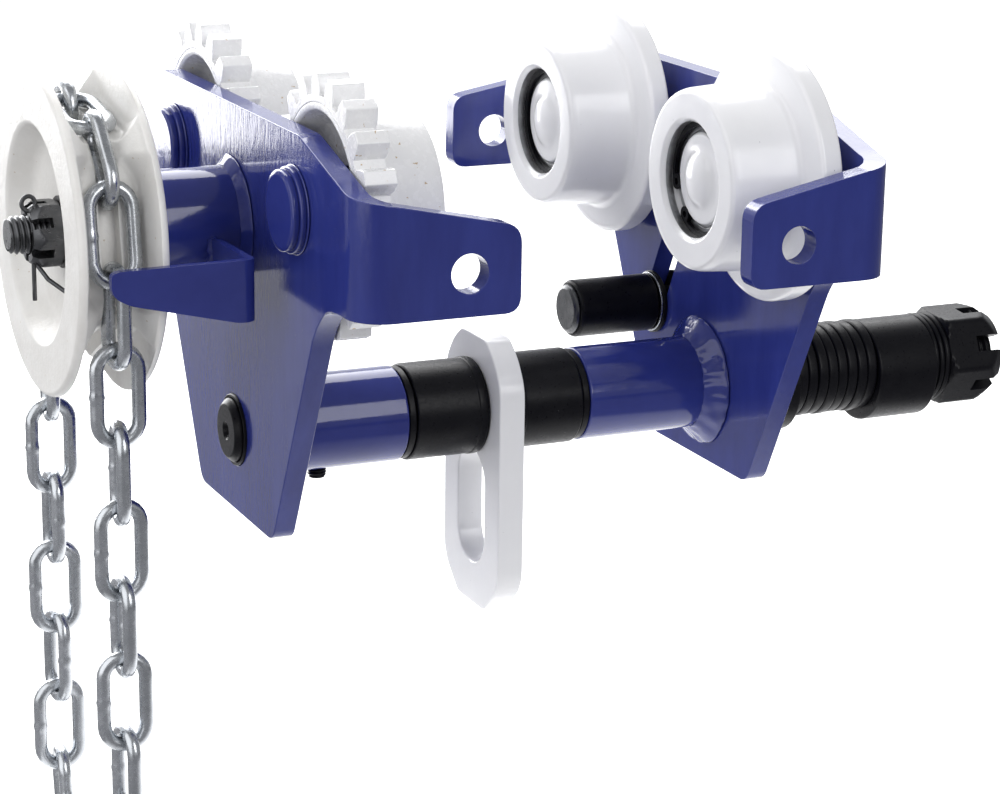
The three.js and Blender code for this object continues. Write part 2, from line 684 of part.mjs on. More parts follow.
// ---------- drive: housing, shaft and pinion, hand wheel, chain ----------
function housing() {
  const from = -FIT;
  const tube = ring(from - HOUSING_L, from, HOUSING_R, SHAFT_R + FIT);
  add('drive_shaft_housing', tube, 'bluePaint', gearedOuter, 0, pinionZ);
  const inner = HOUSING_R + FIT;
  const weld = turned([[inner, from], [inner + WELD_LEG, from], [inner, from - WELD_LEG]]);
  add('housing_weld', weld, 'bluePaint', gearedOuter, 0, pinionZ);
}

function chainGuide() {
  const r = GUIDE_BEND_R;
  const plan = new THREE.Shape();
  plan.moveTo(-GUIDE_X, -HOUSING_R - FIT);
  plan.lineTo(-GUIDE_X - GUIDE_T, -HOUSING_R - FIT);
  plan.lineTo(-GUIDE_X - GUIDE_T, -GUIDE_Y + GUIDE_T);
  plan.lineTo(-GUIDE_TIP_X, -GUIDE_Y + GUIDE_T);
  plan.lineTo(-GUIDE_TIP_X, -GUIDE_Y);
  plan.absarc(-GUIDE_X - r, -GUIDE_Y + r, r, 1.5 * Math.PI, 2 * Math.PI, false);
  const top = -GUIDE_TOP;
  const side = outline([
    [0, top], [-GUIDE_TIP_X + 3, top - 1], [-GUIDE_TIP_X, top - 3], [-GUIDE_TIP_X, top - GUIDE_TIP_DEPTH],
    [-GUIDE_TIP_X + 3, top - GUIDE_TIP_DEPTH - 2], [-GUIDE_X - 11, top - GUIDE_DEPTH], [0, top - GUIDE_DEPTH],
  ]);
  const guide = common(alongZ(plan, -60, 20), alongY(side, -GUIDE_Y - 1, 0));
  add('chain_guide', guide, 'bluePaint', gearedOuter, 0, pinionZ);
}

function driveShaft() {
  const seat = -(HAND_WHEEL_BACK + HAND_WHEEL_W - DISH_DEPTH);
  const end = PLATE_T + GEARED_WHEEL_CLEAR + GEAR_W + 3;
  const shaft = turned([
    [0, -SHAFT_TIP_X], [SHAFT_THREAD_R - 1, -SHAFT_TIP_X], [SHAFT_THREAD_R, -SHAFT_TIP_X + 1],
    [SHAFT_THREAD_R, seat - FIT], [SHAFT_R, seat - FIT], [SHAFT_R, end - 1], [SHAFT_R - 1, end], [0, end],
  ]);
  const face = PLATE_T + GEARED_WHEEL_CLEAR;
  const pinion = alongX(gearShape(PINION_TEETH, nearDirection), face, face + GEAR_W);
  const pinX = seat - SHAFT_NUT_L + SHAFT_NUT_SLOT_DEPTH / 2 - FIT;
  const hole = moved(crossRod(PIN_R + FIT, 4 * SHAFT_THREAD_R), pinX, 0, 0).rotateX(Math.PI / 2);
  add('drive_shaft', cut(join(shaft, pinion), hole), 'greySteel', gearedOuter, 0, pinionZ);
  const bore = SHAFT_THREAD_R + FIT;
  const nut = castleNut(SHAFT_NUT_AF, SHAFT_NUT_L, bore, SHAFT_NUT_SLOT_DEPTH, SHAFT_NUT_SLOT_W);
  add('shaft_castle_nut', mirrored(nut), 'greySteel', gearedOuter + seat - FIT, 0, pinionZ);
  const pin = moved(crossRod(PIN_R, SHAFT_NUT_AF + SHAFT_PIN_OVER), pinX, 0, 0).rotateX(Math.PI / 2);
  add('shaft_split_pin', pin, 'greySteel', gearedOuter, 0, pinionZ);
}

function handWheel() {
  const w = HAND_WHEEL_W / 2;
  const g = GROOVE_W / 2;
  const rim = w - RIM_EDGE;
  const wheel = turned([
    [SHAFT_R + FIT, -w + DISH_DEPTH], [DISH_FLOOR_R, -w + DISH_DEPTH], [DISH_R, -w],
    [HAND_WHEEL_R - 1.2, -w], [HAND_WHEEL_R, -w + 1.2], [HAND_WHEEL_R, -rim],
    [GROOVE_R, -g], [GROOVE_R, g],
    [HAND_WHEEL_R, rim], [HAND_WHEEL_R, w - 1.2], [HAND_WHEEL_R - 1.2, w],
    [HUB_R, w], [HUB_R, w + HUB_PROUD], [SHAFT_R + FIT, w + HUB_PROUD],
  ], HAND_WHEEL_ROUND);
  add('hand_wheel', wheel, 'castWhite', handWheelX, 0, pinionZ);
}

// endless chain as one plain band over the hand wheel, hanging in two strands
function handChain() {
  const drop = CHAIN_DROP_LINKS * CHAIN_PITCH;
  const band = (r) => {
    const loop = new THREE.Shape();
    loop.absarc(0, 0, r, 0, Math.PI, false);
    loop.absarc(0, -drop, r, Math.PI, 2 * Math.PI, false);
    return loop;
  };
  const loop = band(CHAIN_R + CHAIN_HALF);
  loop.holes.push(band(CHAIN_R - CHAIN_HALF));
  add('hand_chain', alongX(loop, -CHAIN_W / 2, CHAIN_W / 2, 10), 'zinc', handWheelX, 0, pinionZ);
}

// ---------- anti-tilt roller ----------
function antiTilt() {
  const [y, z] = [ROLLER_Y, barZ + ROLLER_Z];
  const flangeX = plainInner - FIT - STUD_FLANGE_T;
  const rollerEnd = flangeX - FIT;
  const face = rollerEnd - ROLLER_L;
  const bore = STUD_R + FIT;
  const roller = turned([
    [0, face], [ROLLER_R - 1.5, face], [ROLLER_R, face + 1.5], [ROLLER_R, rollerEnd], [bore, rollerEnd],
    [bore, face + ROLLER_WALL], [0, face + ROLLER_WALL],
  ]);
  const tip = plainOuter + STUD_OUT;
  const stud = turned([
    [0, face + ROLLER_WALL + FIT], [STUD_R, face + ROLLER_WALL + FIT], [STUD_R, flangeX],
    [STUD_FLANGE_R, flangeX], [STUD_FLANGE_R, flangeX + STUD_FLANGE_T], [STUD_R, flangeX + STUD_FLANGE_T],
    [STUD_R, tip], [0, tip],
  ]);
  const washerFrom = plainOuter + FIT;
  const nutFrom = washerFrom + STUD_WASHER_T + FIT;
  const nutTo = nutFrom + STUD_NUT_L;
  const nut = cut(alongX(hexShape(STUD_NUT_AF), nutFrom, nutTo), disc(nutFrom - 1, nutTo + 1, bore));
  add('anti_tilt_roller', roller, 'blackSteel', 0, y, z);
  add('anti_tilt_stud', stud, 'greySteel', 0, y, z);
  const washer = ring(washerFrom, washerFrom + STUD_WASHER_T, STUD_FLANGE_R, bore);
  add('anti_tilt_washer', washer, 'greySteel', 0, y, z);
  add('anti_tilt_nut', nut, 'blackSteel', 0, y, z);
}

gearedPlate();
plainPlate();
wheels();
barPieces();
barEnd(stackPieces());
housing();
chainGuide();
driveShaft();
handWheel();
handChain();
antiTilt();

export default trolley;
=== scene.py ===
"""Looks of the geared beam trolley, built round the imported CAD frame.

Shapes are made in millimetres in the row frame (+X along the load bar, +Y along the beam, +Z up);
piece() turns them into metres. Places come from the CAD nodes' boxes.
"""

import math

import bmesh
import bpy
from mathutils import Matrix, Vector, noise


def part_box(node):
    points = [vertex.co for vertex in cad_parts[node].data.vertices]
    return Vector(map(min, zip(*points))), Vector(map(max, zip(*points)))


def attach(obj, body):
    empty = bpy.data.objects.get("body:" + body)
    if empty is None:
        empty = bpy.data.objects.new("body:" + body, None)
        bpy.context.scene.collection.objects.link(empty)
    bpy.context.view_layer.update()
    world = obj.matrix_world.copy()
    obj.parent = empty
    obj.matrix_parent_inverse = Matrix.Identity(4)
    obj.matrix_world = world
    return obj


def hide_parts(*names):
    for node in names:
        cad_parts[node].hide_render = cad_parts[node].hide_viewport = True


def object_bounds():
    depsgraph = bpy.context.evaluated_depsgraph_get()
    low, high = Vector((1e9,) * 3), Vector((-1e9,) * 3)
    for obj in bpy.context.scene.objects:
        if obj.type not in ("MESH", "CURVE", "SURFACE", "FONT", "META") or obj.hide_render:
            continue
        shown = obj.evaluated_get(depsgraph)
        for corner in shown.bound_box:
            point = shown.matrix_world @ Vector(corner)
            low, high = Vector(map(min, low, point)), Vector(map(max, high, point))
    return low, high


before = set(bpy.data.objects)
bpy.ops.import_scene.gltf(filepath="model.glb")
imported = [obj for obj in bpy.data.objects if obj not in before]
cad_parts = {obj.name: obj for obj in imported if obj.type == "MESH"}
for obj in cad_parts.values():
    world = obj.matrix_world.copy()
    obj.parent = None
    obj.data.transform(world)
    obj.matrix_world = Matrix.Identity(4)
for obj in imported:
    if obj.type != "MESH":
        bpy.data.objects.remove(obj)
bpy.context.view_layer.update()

MM = 0.001
ROOT = "frame"

# ---------- camera and stage, metres and degrees ----------
VIEW_AZIMUTH = 24.443
VIEW_ELEVATION = 15.51
VIEW_ROLL = 0.84
VIEW_DISTANCE = 1.06448
VIEW_TARGET = (0.00625, 0.0, -0.06091)
LENS = 99.95
FLOOR_GAP = 0.02
FLOOR_SIZE = 14
# Strength of the floor's painted glow: an emitting pool of painted light, not a lamp.
FLOOR_PAINTED_GLOW = 0.7

# ---------- sizes the boxes don't give, millimetres ----------
PLATE_T = 8
BEND_OUT_R = 12.5
PLATE_ROUND = 0.9
END_HOLE_R = 6.7
TOP_NEAR = 69
TOP_FAR = 82
END_HOLE_SETBACK = 18.5
DISH_DEPTH = 10.25
HUB_PROUD = 2
MODULE = 4.2
WHEEL_TEETH = 20
PINION_TEETH = 12
WIRE_R = 2.5
CHAIN_PITCH = 28
CHAIN_OUT_W = 20
JOINT_R = 45.3
LINK_TURN = math.radians(36)
FIRST_LINK = math.radians(170.7)


# ---------- places from the CAD frame ----------
def low(node):
    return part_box(node)[0] / MM


def high(node):
    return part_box(node)[1] / MM


def middle(node):
    return (low(node) + high(node)) / 2


def span(node):
    return low(node).x, high(node).x


# ---------- profiles ----------
def softened(points, closed=False, steps=3):
    """Rounds each corner (u, v, radius) of a polyline; a corner with no radius stays sharp."""
    count = len(points)
    out = []
    for i, point in enumerate(points):
        here = Vector(point[:2])
        radius = point[2] if len(point) > 2 else 0
        inside = closed or 0 < i < count - 1
        if not radius or not inside:
            out.append(tuple(here))
            continue
        before = Vector(points[i - 1][:2]) - here
        after = Vector(points[(i + 1) % count][:2]) - here
        reach = min(radius, 0.48 * before.length, 0.48 * after.length)
        first = here + before.normalized() * reach
        last = here + after.normalized() * reach
        for k in range(steps + 1):
            t = k / steps
            p = first * (1 - t) ** 2 + here * 2 * t * (1 - t) + last * t * t
            out.append((p.x, p.y))
    return out


def arc(u, v, r, start, end, steps):
    """Points on an arc about (u, v), angles in degrees."""
    out = []
    for k in range(steps + 1):
        a = math.radians(start + (end - start) * k / steps)
        out.append((u + r * math.cos(a), v + r * math.sin(a)))
    return out


def circle(u, v, r, steps=48):
    return arc(u, v, r, 0, 360, steps)[:-1]


def stadium(u, v, r, run, lean, steps=16):
    """Slot outline with its lower centre at (u, v), leaning (radians) from upright."""
    turn = math.degrees(lean)
    top_u = u - run * math.sin(lean)
    top_v = v + run * math.cos(lean)
    return arc(u, v, r, 180 + turn, 360 + turn, steps) + arc(top_u, top_v, r, turn, 180 + turn, steps)


# ---------- mesh builders, each returns a bmesh in millimetres ----------
def turned(profile, sides=96, closed=True, shape=None):
    """Body turned about X from (x, r, rounding) points. shape(x, r, angle) may change r."""
    bm = bmesh.new()
    line = softened(profile, closed)
    if not closed:
        line = [(x, max(r, 0)) for x, r in line]
    rows = []
    for x, r in line:
        if r < 1e-6:
            rows.append([bm.verts.new((x, 0, 0))])
            continue
        row = []
        for k in range(sides):
            a = 2 * math.pi * k / sides
            ra = shape(x, r, a) if shape else r
            row.append(bm.verts.new((x, ra * math.cos(a), ra * math.sin(a))))
        rows.append(row)
    pairs = list(zip(rows, rows[1:]))
    if closed:
        pairs.append((rows[-1], rows[0]))
    for one, two in pairs:
        for k in range(sides):
            j = (k + 1) % sides
            if len(one) == 1:
                bm.faces.new((one[0], two[k], two[j]))
            elif len(two) == 1:
                bm.faces.new((one[k], two[0], one[j]))
            else:
                bm.faces.new((one[k], two[k], two[j], one[j]))
    bmesh.ops.recalc_face_normals(bm, faces=bm.faces)
    return bm


def tube(x0, x1, outer, inner, edge=0.6, sides=96):
    return turned([(x0, inner, edge), (x0, outer, edge), (x1, outer, edge), (x1, inner, edge)], sides)


def plate(outline, holes, depth):
    """Flat plate from z = 0 to depth."""
    bm = bmesh.new()
    edges = []
    for loop in [outline, *holes]:
        verts = [bm.verts.new((u, v, 0)) for u, v in loop]
        for i, vert in enumerate(verts):
            edges.append(bm.edges.new((vert, verts[(i + 1) % len(verts)])))
    bmesh.ops.triangle_fill(bm, use_beauty=True, edges=edges)
    grown = bmesh.ops.extrude_face_region(bm, geom=bm.faces[:])
    moved = [g for g in grown["geom"] if isinstance(g, bmesh.types.BMVert)]
    bmesh.ops.translate(bm, verts=moved, vec=(0, 0, depth))
    bmesh.ops.recalc_face_normals(bm, faces=bm.faces)
    return bm


def standing(bm, x0):
    """Turns a flat plate's (u, v, w) into (y, z, x) and starts it at x0."""
    swap = Matrix(((0, 0, 1, x0), (1, 0, 0, 0), (0, 1, 0, 0), (0, 0, 0, 1)))
    bm.transform(swap)
    return bm


def scratch(bm):
    mesh = bpy.data.meshes.new("scratch")
    bm.to_mesh(mesh)
    bm.free()
    obj = bpy.data.objects.new("scratch", mesh)
    bpy.context.scene.collection.objects.link(obj)
    return obj


def applied(obj, *spares):
    """The object's mesh with its modifiers applied; the scratch objects are removed."""
    graph = bpy.context.evaluated_depsgraph_get()
    bm = bmesh.new()
    bm.from_mesh(obj.evaluated_get(graph).to_mesh())
    for o in (obj, *spares):
        mesh = o.data
        bpy.data.objects.remove(o)
        bpy.data.meshes.remove(mesh)
    return bm


def eased(bm, width, segments=2, angle=32):
    """Rounds every edge sharper than angle."""
    obj = scratch(bm)
    bevel = obj.modifiers.new("ease", "BEVEL")
    bevel.width = width
    bevel.segments = segments
    bevel.limit_method = "ANGLE"
    bevel.angle_limit = math.radians(angle)
    bevel.use_clamp_overlap = True
    return applied(obj)


def combined(first, second, operation):
    one, two = scratch(first), scratch(second)
    boolean = one.modifiers.new("combine", "BOOLEAN")
    boolean.operation = operation
    boolean.solver = "EXACT"
    boolean.object = two
    return applied(one, two)


def block(x0, x1, y0, y1, z0, z1):
    bm = bmesh.new()
    bmesh.ops.create_cube(bm, size=1)
    bmesh.ops.scale(bm, vec=(x1 - x0, y1 - y0, z1 - z0), verts=bm.verts)
    bmesh.ops.translate(bm, vec=((x0 + x1) / 2, (y0 + y1) / 2, (z0 + z1) / 2), verts=bm.verts)
    return bm


def swept(path, radius, sides=16, closed=False):
    """Round wire along 3-D points; radius may be a function of the point's index."""
    bm = bmesh.new()
    size = radius if callable(radius) else (lambda i: radius)
    points = [Vector(p) for p in path]
    count = len(points)
    rings = []
    side = None
    for i, p in enumerate(points):
        ahead = points[(i + 1) % count] if closed or i < count - 1 else p
        behind = points[i - 1] if closed or i > 0 else p
        along = (ahead - behind).normalized()
        if side is None:
            side = along.orthogonal().normalized()
        side = (side - along * side.dot(along)).normalized()
        up = along.cross(side)
        ring = []
        for k in range(sides):
            a = 2 * math.pi * k / sides
            ring.append(bm.verts.new(p + (side * math.cos(a) + up * math.sin(a)) * size(i)))
        rings.append(ring)
    pairs = list(zip(rings, rings[1:]))
    if closed:
        pairs.append((rings[-1], rings[0]))
    for one, two in pairs:
        for k in range(sides):
            j = (k + 1) % sides
            bm.faces.new((one[k], one[j], two[j], two[k]))
    if not closed:
        bm.faces.new(rings[0][::-1])
        bm.faces.new(rings[-1])
    bmesh.ops.recalc_face_normals(bm, faces=bm.faces)
    return bm


def merged(*parts):
    """Several separate shells in one bmesh."""
    whole = bmesh.new()
    for bm in parts:
        mesh = bpy.data.meshes.new("part")
        bm.to_mesh(mesh)
        bm.free()
        whole.from_mesh(mesh)
        bpy.data.meshes.remove(mesh)
    return whole


def shifted(bm, x=0, y=0, z=0):
    bmesh.ops.translate(bm, vec=(x, y, z), verts=bm.verts)
    return bm


def spun(bm, angle):
    bm.transform(Matrix.Rotation(angle, 4, "X"))
    return bm


def flipped(bm):
    """Mirrors a build across X = 0."""
    bm.transform(Matrix.Scale(-1, 4, (1, 0, 0)))
    bmesh.ops.reverse_faces(bm, faces=bm.faces)
    return bm


# ---------- materials ----------
def nodes_of(material):
    material.use_nodes = True
    tree = material.node_tree
    return tree, tree.nodes["Principled BSDF"]


def place_nodes(tree, stretch):
    """Object coordinates, stretched so that the marks run long where stretch is small."""
    coords = tree.nodes.new("ShaderNodeTexCoord")
    mapping = tree.nodes.new("ShaderNodeMapping")
    mapping.inputs["Scale"].default_value = stretch
    tree.links.new(coords.outputs["Object"], mapping.inputs["Vector"])
    return mapping.outputs["Vector"]


def noise_node(tree, where, scale, detail=3.0, rough=0.55):
    node = tree.nodes.new("ShaderNodeTexNoise")
    node.inputs["Scale"].default_value = scale
    node.inputs["Detail"].default_value = detail
    node.inputs["Roughness"].default_value = rough
    tree.links.new(where, node.inputs["Vector"])
    return node.outputs["Fac"]


def ramp(tree, factor, stops):
    node = tree.nodes.new("ShaderNodeValToRGB")
    elements = node.color_ramp.elements
    for i, (at, color) in enumerate(stops):
        element = elements[i] if i < 2 else elements.new(at)
        element.position = at
        element.color = (*color, 1)
    tree.links.new(factor, node.inputs["Fac"])
    return node.outputs["Color"]


def spread(tree, factor, low_value, high_value):
    node = tree.nodes.new("ShaderNodeMapRange")
    node.inputs["From Min"].default_value = 0.3
    node.inputs["From Max"].default_value = 0.7
    node.inputs["To Min"].default_value = low_value
    node.inputs["To Max"].default_value = high_value
    tree.links.new(factor, node.inputs["Value"])
    return node.outputs["Result"]


def bumped(tree, shader, height, strength, distance):
    node = tree.nodes.new("ShaderNodeBump")
    node.inputs["Strength"].default_value = strength
    node.inputs["Distance"].default_value = distance
    tree.links.new(height, node.inputs["Height"])
    tree.links.new(node.outputs["Normal"], shader.inputs["Normal"])


def surface(name, dark, light, rough, metal, grain, bump, stretch=(1, 1, 1), shine=0.5, specks=None):
    """Procedural finish. grain is the noise scale; rough and bump are (low, high) and (strength, metres)."""
    material = bpy.data.materials.new(name)
    tree, shader = nodes_of(material)
    where = place_nodes(tree, stretch)
    tone = noise_node(tree, where, grain * 0.12, 4)
    color = ramp(tree, tone, [(0.32, dark), (0.68, light)])
    if specks:
        dots = noise_node(tree, where, specks[1], 2, 0.6)
        mask = ramp(tree, dots, [(specks[2], (0, 0, 0)), (specks[2] + 0.03, (1, 1, 1))])
        mix = tree.nodes.new("ShaderNodeMix")
        mix.data_type = "RGBA"
        tree.links.new(mask, mix.inputs[0])
        tree.links.new(color, mix.inputs[6])
        mix.inputs[7].default_value = (*specks[0], 1)
        color = mix.outputs[2]
    tree.links.new(color, shader.inputs["Base Color"])
    fine = noise_node(tree, where, grain, 3)
    tree.links.new(spread(tree, fine, *rough), shader.inputs["Roughness"])
    bumped(tree, shader, fine, *bump)
    shader.inputs["Metallic"].default_value = metal
    shader.inputs["Specular IOR Level"].default_value = shine
    return material


BLUE_DARK = (0.020, 0.028, 0.175)
BLUE_LIGHT = (0.028, 0.040, 0.225)
SPECK_TAN = ((0.50, 0.38, 0.25), 420, 0.70)
SPECK_DARK = ((0.22, 0.22, 0.24), 700, 0.77)
LOOKS = {
    "blue_paint": surface("blue_paint", BLUE_DARK, BLUE_LIGHT, (0.05, 0.14), 0, 300, (0.06, 0.0005)),
    "blue_plate": surface("blue_plate", BLUE_DARK, BLUE_LIGHT, (0.05, 0.14), 0, 700, (0.10, 0.0005),
                          stretch=(1, 1, 0.25)),
    "white_paint": surface("white_paint", (0.80, 0.80, 0.82), (0.84, 0.84, 0.855), (0.12, 0.26), 0, 300,
                           (0.06, 0.0005), specks=SPECK_DARK),
    "worn_white": surface("worn_white", (0.80, 0.80, 0.81), (0.84, 0.84, 0.845), (0.15, 0.35), 0, 380,
                          (0.16, 0.0007), specks=SPECK_TAN),
    "cast_white": surface("cast_white", (0.76, 0.745, 0.715), (0.84, 0.83, 0.805), (0.30, 0.50), 0, 520,
                          (0.25, 0.0008), specks=((0.55, 0.46, 0.36), 420, 0.74)),
    "black_steel": surface("black_steel", (0.003, 0.003, 0.005), (0.006, 0.006, 0.008), (0.26, 0.42), 0, 900,
                           (0.14, 0.0003), shine=0.14, specks=((0.10, 0.10, 0.11), 1100, 0.77)),
    "dark_nut": surface("dark_nut", (0.05, 0.052, 0.056), (0.13, 0.132, 0.138), (0.25, 0.40), 0.9, 700,
                        (0.15, 0.0003)),
    "grey_steel": surface("grey_steel", (0.26, 0.265, 0.275), (0.44, 0.445, 0.455), (0.26, 0.45), 0.95, 1300,
                          (0.25, 0.0003)),
    "zinc": surface("zinc", (0.42, 0.44, 0.46), (0.58, 0.60, 0.63), (0.20, 0.32), 1.0, 500, (0.03, 0.0003)),
}


def piece(name, bm, look, body, *replaced):
    """Makes the object in metres, with its finish, its body and the CAD nodes it stands for."""
    mesh = bpy.data.meshes.new(name)
    bmesh.ops.remove_doubles(bm, verts=bm.verts, dist=1e-4)
    bm.to_mesh(mesh)
    bm.free()
    mesh.transform(Matrix.Scale(MM, 4))
    mesh.materials.append(LOOKS[look])
    mesh.shade_smooth()
    obj = bpy.data.objects.new(name, mesh)
    bpy.context.scene.collection.objects.link(obj)
    obj.modifiers.new("normals", "WEIGHTED_NORMAL").keep_sharp = True
    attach(obj, body)
    if replaced:
        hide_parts(*replaced)
    return obj


# ---------- shared shapes ----------
def weld_bead(x, way, inner, leg, seed, height=0.8):
    """Lumpy fillet round a tube; way is the side of x that it grows to."""
    def lumps(px, r, a):
        if r < inner + 0.1:
            return r
        ripple = 0.13 * height * math.sin(19 * a + 2.2 * math.sin(3 * a + seed))
        slow = noise.noise(Vector((1.6 * math.cos(a), 1.6 * math.sin(a), seed)))
        fast = noise.noise(Vector((5 * math.cos(a), 5 * math.sin(a), seed + 4 + 0.3 * px)))
        return r + ripple + height * (1.3 * slow + 0.5 * fast)
    bulge = [
        (x, inner), (x, inner + leg), (x + way * 0.10 * leg, inner + 0.97 * leg),
        (x + way * 0.24 * leg, inner + 0.84 * leg), (x + way * 0.42 * leg, inner + 0.64 * leg),
        (x + way * 0.62 * leg, inner + 0.42 * leg), (x + way * 0.84 * leg, inner + 0.19 * leg),
        (x + way * 1.05 * leg, inner),
    ]
    return turned(softened([(u, v, 1.0) for u, v in bulge], True), 200, True, lumps)


def castle_nut(across_flats, length, bore, slot_depth, slot_width):
    """Castle nut seated at x = 0 with its slots, centred on the flats, at the far end."""
    flats = across_flats / 2
    crown = 1.13 * flats

    def hexagon(x, r, a):
        if r < flats * 0.8:
            return r
        face = (a + math.pi / 6) % (math.pi / 3) - math.pi / 6
        corner = flats / math.cos(face)
        seat_cone = flats * 0.97 + x * 1.7
        end_cone = flats * 0.90 + (length - x) * 0.62
        return min(corner, crown, seat_cone, end_cone, r)
    rows = [(0, bore, 0), (0, flats * 0.97, 0)]
    rows += [(length * 0.5 * (k / 10) ** 2, crown) for k in range(1, 10)]
    rows += [(length - length * 0.5 * (k / 12) ** 2, crown) for k in range(12, 0, -1)]
    rows += [(length, flats * 0.90), (length, bore + 1.0), (length - 1.0, bore)]
    nut = turned(rows, 144, True, hexagon)
    if slot_depth:
        for k in range(3):
            slot = block(length - slot_depth, length + 2, -across_flats, across_flats, -slot_width / 2, slot_width / 2)
            nut = combined(nut, spun(slot, k * math.pi / 3), "DIFFERENCE")
    return eased(nut, 0.4, 2, 40)


def threaded(x0, x1, radius, pitch, way=1, sides=64):
    """Rod with a real helical thread; way is the side of its free end."""
    depth = 0.55 * pitch
    steps = int((x1 - x0) / pitch * 8)

    def groove(x, r, a):
        if r < radius * 0.9:
            return r
        turn = (x / pitch - a / (2 * math.pi)) % 1
        tip = x1 - x if way > 0 else x - x0
        taper = min(1, max(0, tip / (0.9 * pitch)))
        return r - depth * (1 - abs(2 * turn - 1)) - (1 - taper) * 0.9
    rows = [(x0, 0), (x0, radius * 0.8)]
    rows += [(x0 + (x1 - x0) * k / steps, radius) for k in range(steps + 1)]
    rows += [(x1, radius * 0.8), (x1, 0)]
    return turned(rows, sides, False, groove)


def involute(angle):
    return math.tan(angle) - angle


def gear_outline(teeth, phase, backlash, addendum, dedendum):
    pressure = math.radians(20)
    pitch_r = MODULE * teeth / 2
    base_r = pitch_r * math.cos(pressure)
    tip_r = pitch_r + addendum * MODULE
    root_r = pitch_r - dedendum * MODULE
    half_pitch = math.pi / (2 * teeth) - backlash / (2 * pitch_r)
    start_r = max(root_r + 0.6, base_r)
    radii = [root_r] + [start_r + (tip_r - start_r) * k / 5 for k in range(6)]
    half = []
    for r in radii:
        at = math.acos(min(1, base_r / max(r, base_r)))
        half.append(half_pitch + involute(pressure) - involute(at))
    out = []
    for tooth in range(teeth):
        mid = phase + 2 * math.pi * tooth / teeth
        flank = [(r, mid - h) for r, h in zip(radii, half)]
        flank += [(r, mid + h) for r, h in zip(radii[::-1], half[::-1])]
        out += [(r * math.cos(a), r * math.sin(a)) for r, a in flank]
    return out


# ---------- side plates ----------
def plate_outline(near_extra, far_extra):
    """Flat pattern (s, z) of a side plate about the load bar; s runs along the plate and round its bends."""
    bend_start = 125 - BEND_OUT_R
    bend_run = (BEND_OUT_R - PLATE_T / 2) * math.pi / 2
    straight = 57.5 - BEND_OUT_R
    half = []
    for extra, top in ((far_extra, TOP_FAR), (near_extra, TOP_NEAR)):
        end = bend_start + bend_run + straight + extra
        half.append([
            (0, -31, 0), (40, -31, 5), (83.5, 56.5, 12), (95, 66.6, 5), (106, 67.8, 5), (end, 67.8, 6),
            (end, 97.2, 6), (bend_start + bend_run, 106.7, 12), (bend_start, 109.2, 6), (top, 121.3, 3),
        ])
    far, near = half
    return [p for p in far[1:]] + [(-s, z, r) for s, z, r in near[:0:-1]]


def bent(bm):
    """Bends the flat pattern's two ends round, towards +x; its outer face is at x = 0."""
    bend_start = 125 - BEND_OUT_R
    neutral = BEND_OUT_R - PLATE_T / 2
    run = neutral * math.pi / 2
    for side in (-1, 1):
        for k in range(13):
            s = side * (bend_start + run * k / 12)
            geom = bm.verts[:] + bm.edges[:] + bm.faces[:]
            bmesh.ops.bisect_plane(bm, geom=geom, plane_co=(0, s, 0), plane_no=(0, 1, 0), dist=1e-5)
    for v in bm.verts:
        side = 1 if v.co.y > 0 else -1
        past = abs(v.co.y) - bend_start
        if past <= 0:
            continue
        depth = v.co.x
        turn = min(past / neutral, math.pi / 2)
        extra = max(0, past - run)
        v.co.x = BEND_OUT_R - (BEND_OUT_R - depth) * math.cos(turn) + extra
        v.co.y = side * (bend_start + (BEND_OUT_R - depth) * math.sin(turn))
    return bm


def side_plate(far_extra, holes):
    run = (BEND_OUT_R - PLATE_T / 2) * math.pi / 2
    base = 125 - BEND_OUT_R + run + 57.5 - BEND_OUT_R - END_HOLE_SETBACK
    ends = [circle(base + far_extra, 82.5, END_HOLE_R), circle(-base, 82.5, END_HOLE_R)]
    flat = plate(softened(plate_outline(0, far_extra), True, 6), ends + holes, PLATE_T)
    bmesh.ops.dissolve_limit(flat, angle_limit=0.001, verts=flat.verts, edges=flat.edges)
    return bent(eased(standing(flat, 0), PLATE_ROUND, 3))


def axle_holes():
    rise = middle("plain_wheel_near").z - middle("load_bar").z
    return [circle(middle(f"plain_wheel_{place}").y, rise, 9.9) for place in ("near", "far")]


def make_plates():
    bar = middle("load_bar").z
    shaft = middle("drive_shaft_housing").z - bar
    geared = side_plate(0, [circle(0, 0, 13.4), circle(0, shaft, 9.9), *axle_holes()])
    piece("geared_plate_sheet", shifted(geared, low("geared_side_plate").x, 0, bar), "blue_plate", ROOT,
          "geared_side_plate")
    stud = middle("anti_tilt_stud")
    slot = stadium(stud.y + 0.9, stud.z - bar - 1.8, 7.5, 36, 0.469)
    plain = flipped(side_plate(7, [circle(0, 0, 12.4), slot, *axle_holes()]))
    piece("plain_plate_sheet", shifted(plain, high("plain_side_plate").x, 0, bar), "blue_plate", ROOT,
          "plain_side_plate")


# ---------- wheels ----------
def wheel_core(width, bearing_end):
    """Inner side of a wheel profile, from its back to its open face: bore step, bearing seat and chamfer."""
    return [
        (width, 13.5, 0.5), (bearing_end, 13.5, 0.4), (bearing_end, 21.2, 0), (1.6, 21.2, 0.3), (0.6, 21.9, 0.4),
        (0, 22.6, 0.6),
    ]


def plain_wheel(width, bearing_end):
    flange = width - 9
    rim = [
        (0, 32.2, 3.4), (2.8, 33.2, 2.0), (flange - 2.6, 34.8, 2.5), (flange - 1.2, 36.4, 1.5), (flange, 44.5, 1.5),
        (flange + 1.0, 46.3, 1.2), (width - 0.9, 46.3, 1.2), (width, 44.9, 1.0), (width, 13.5, 0.5),
    ]
    return turned(rim + wheel_core(width, bearing_end)[1:], 128)


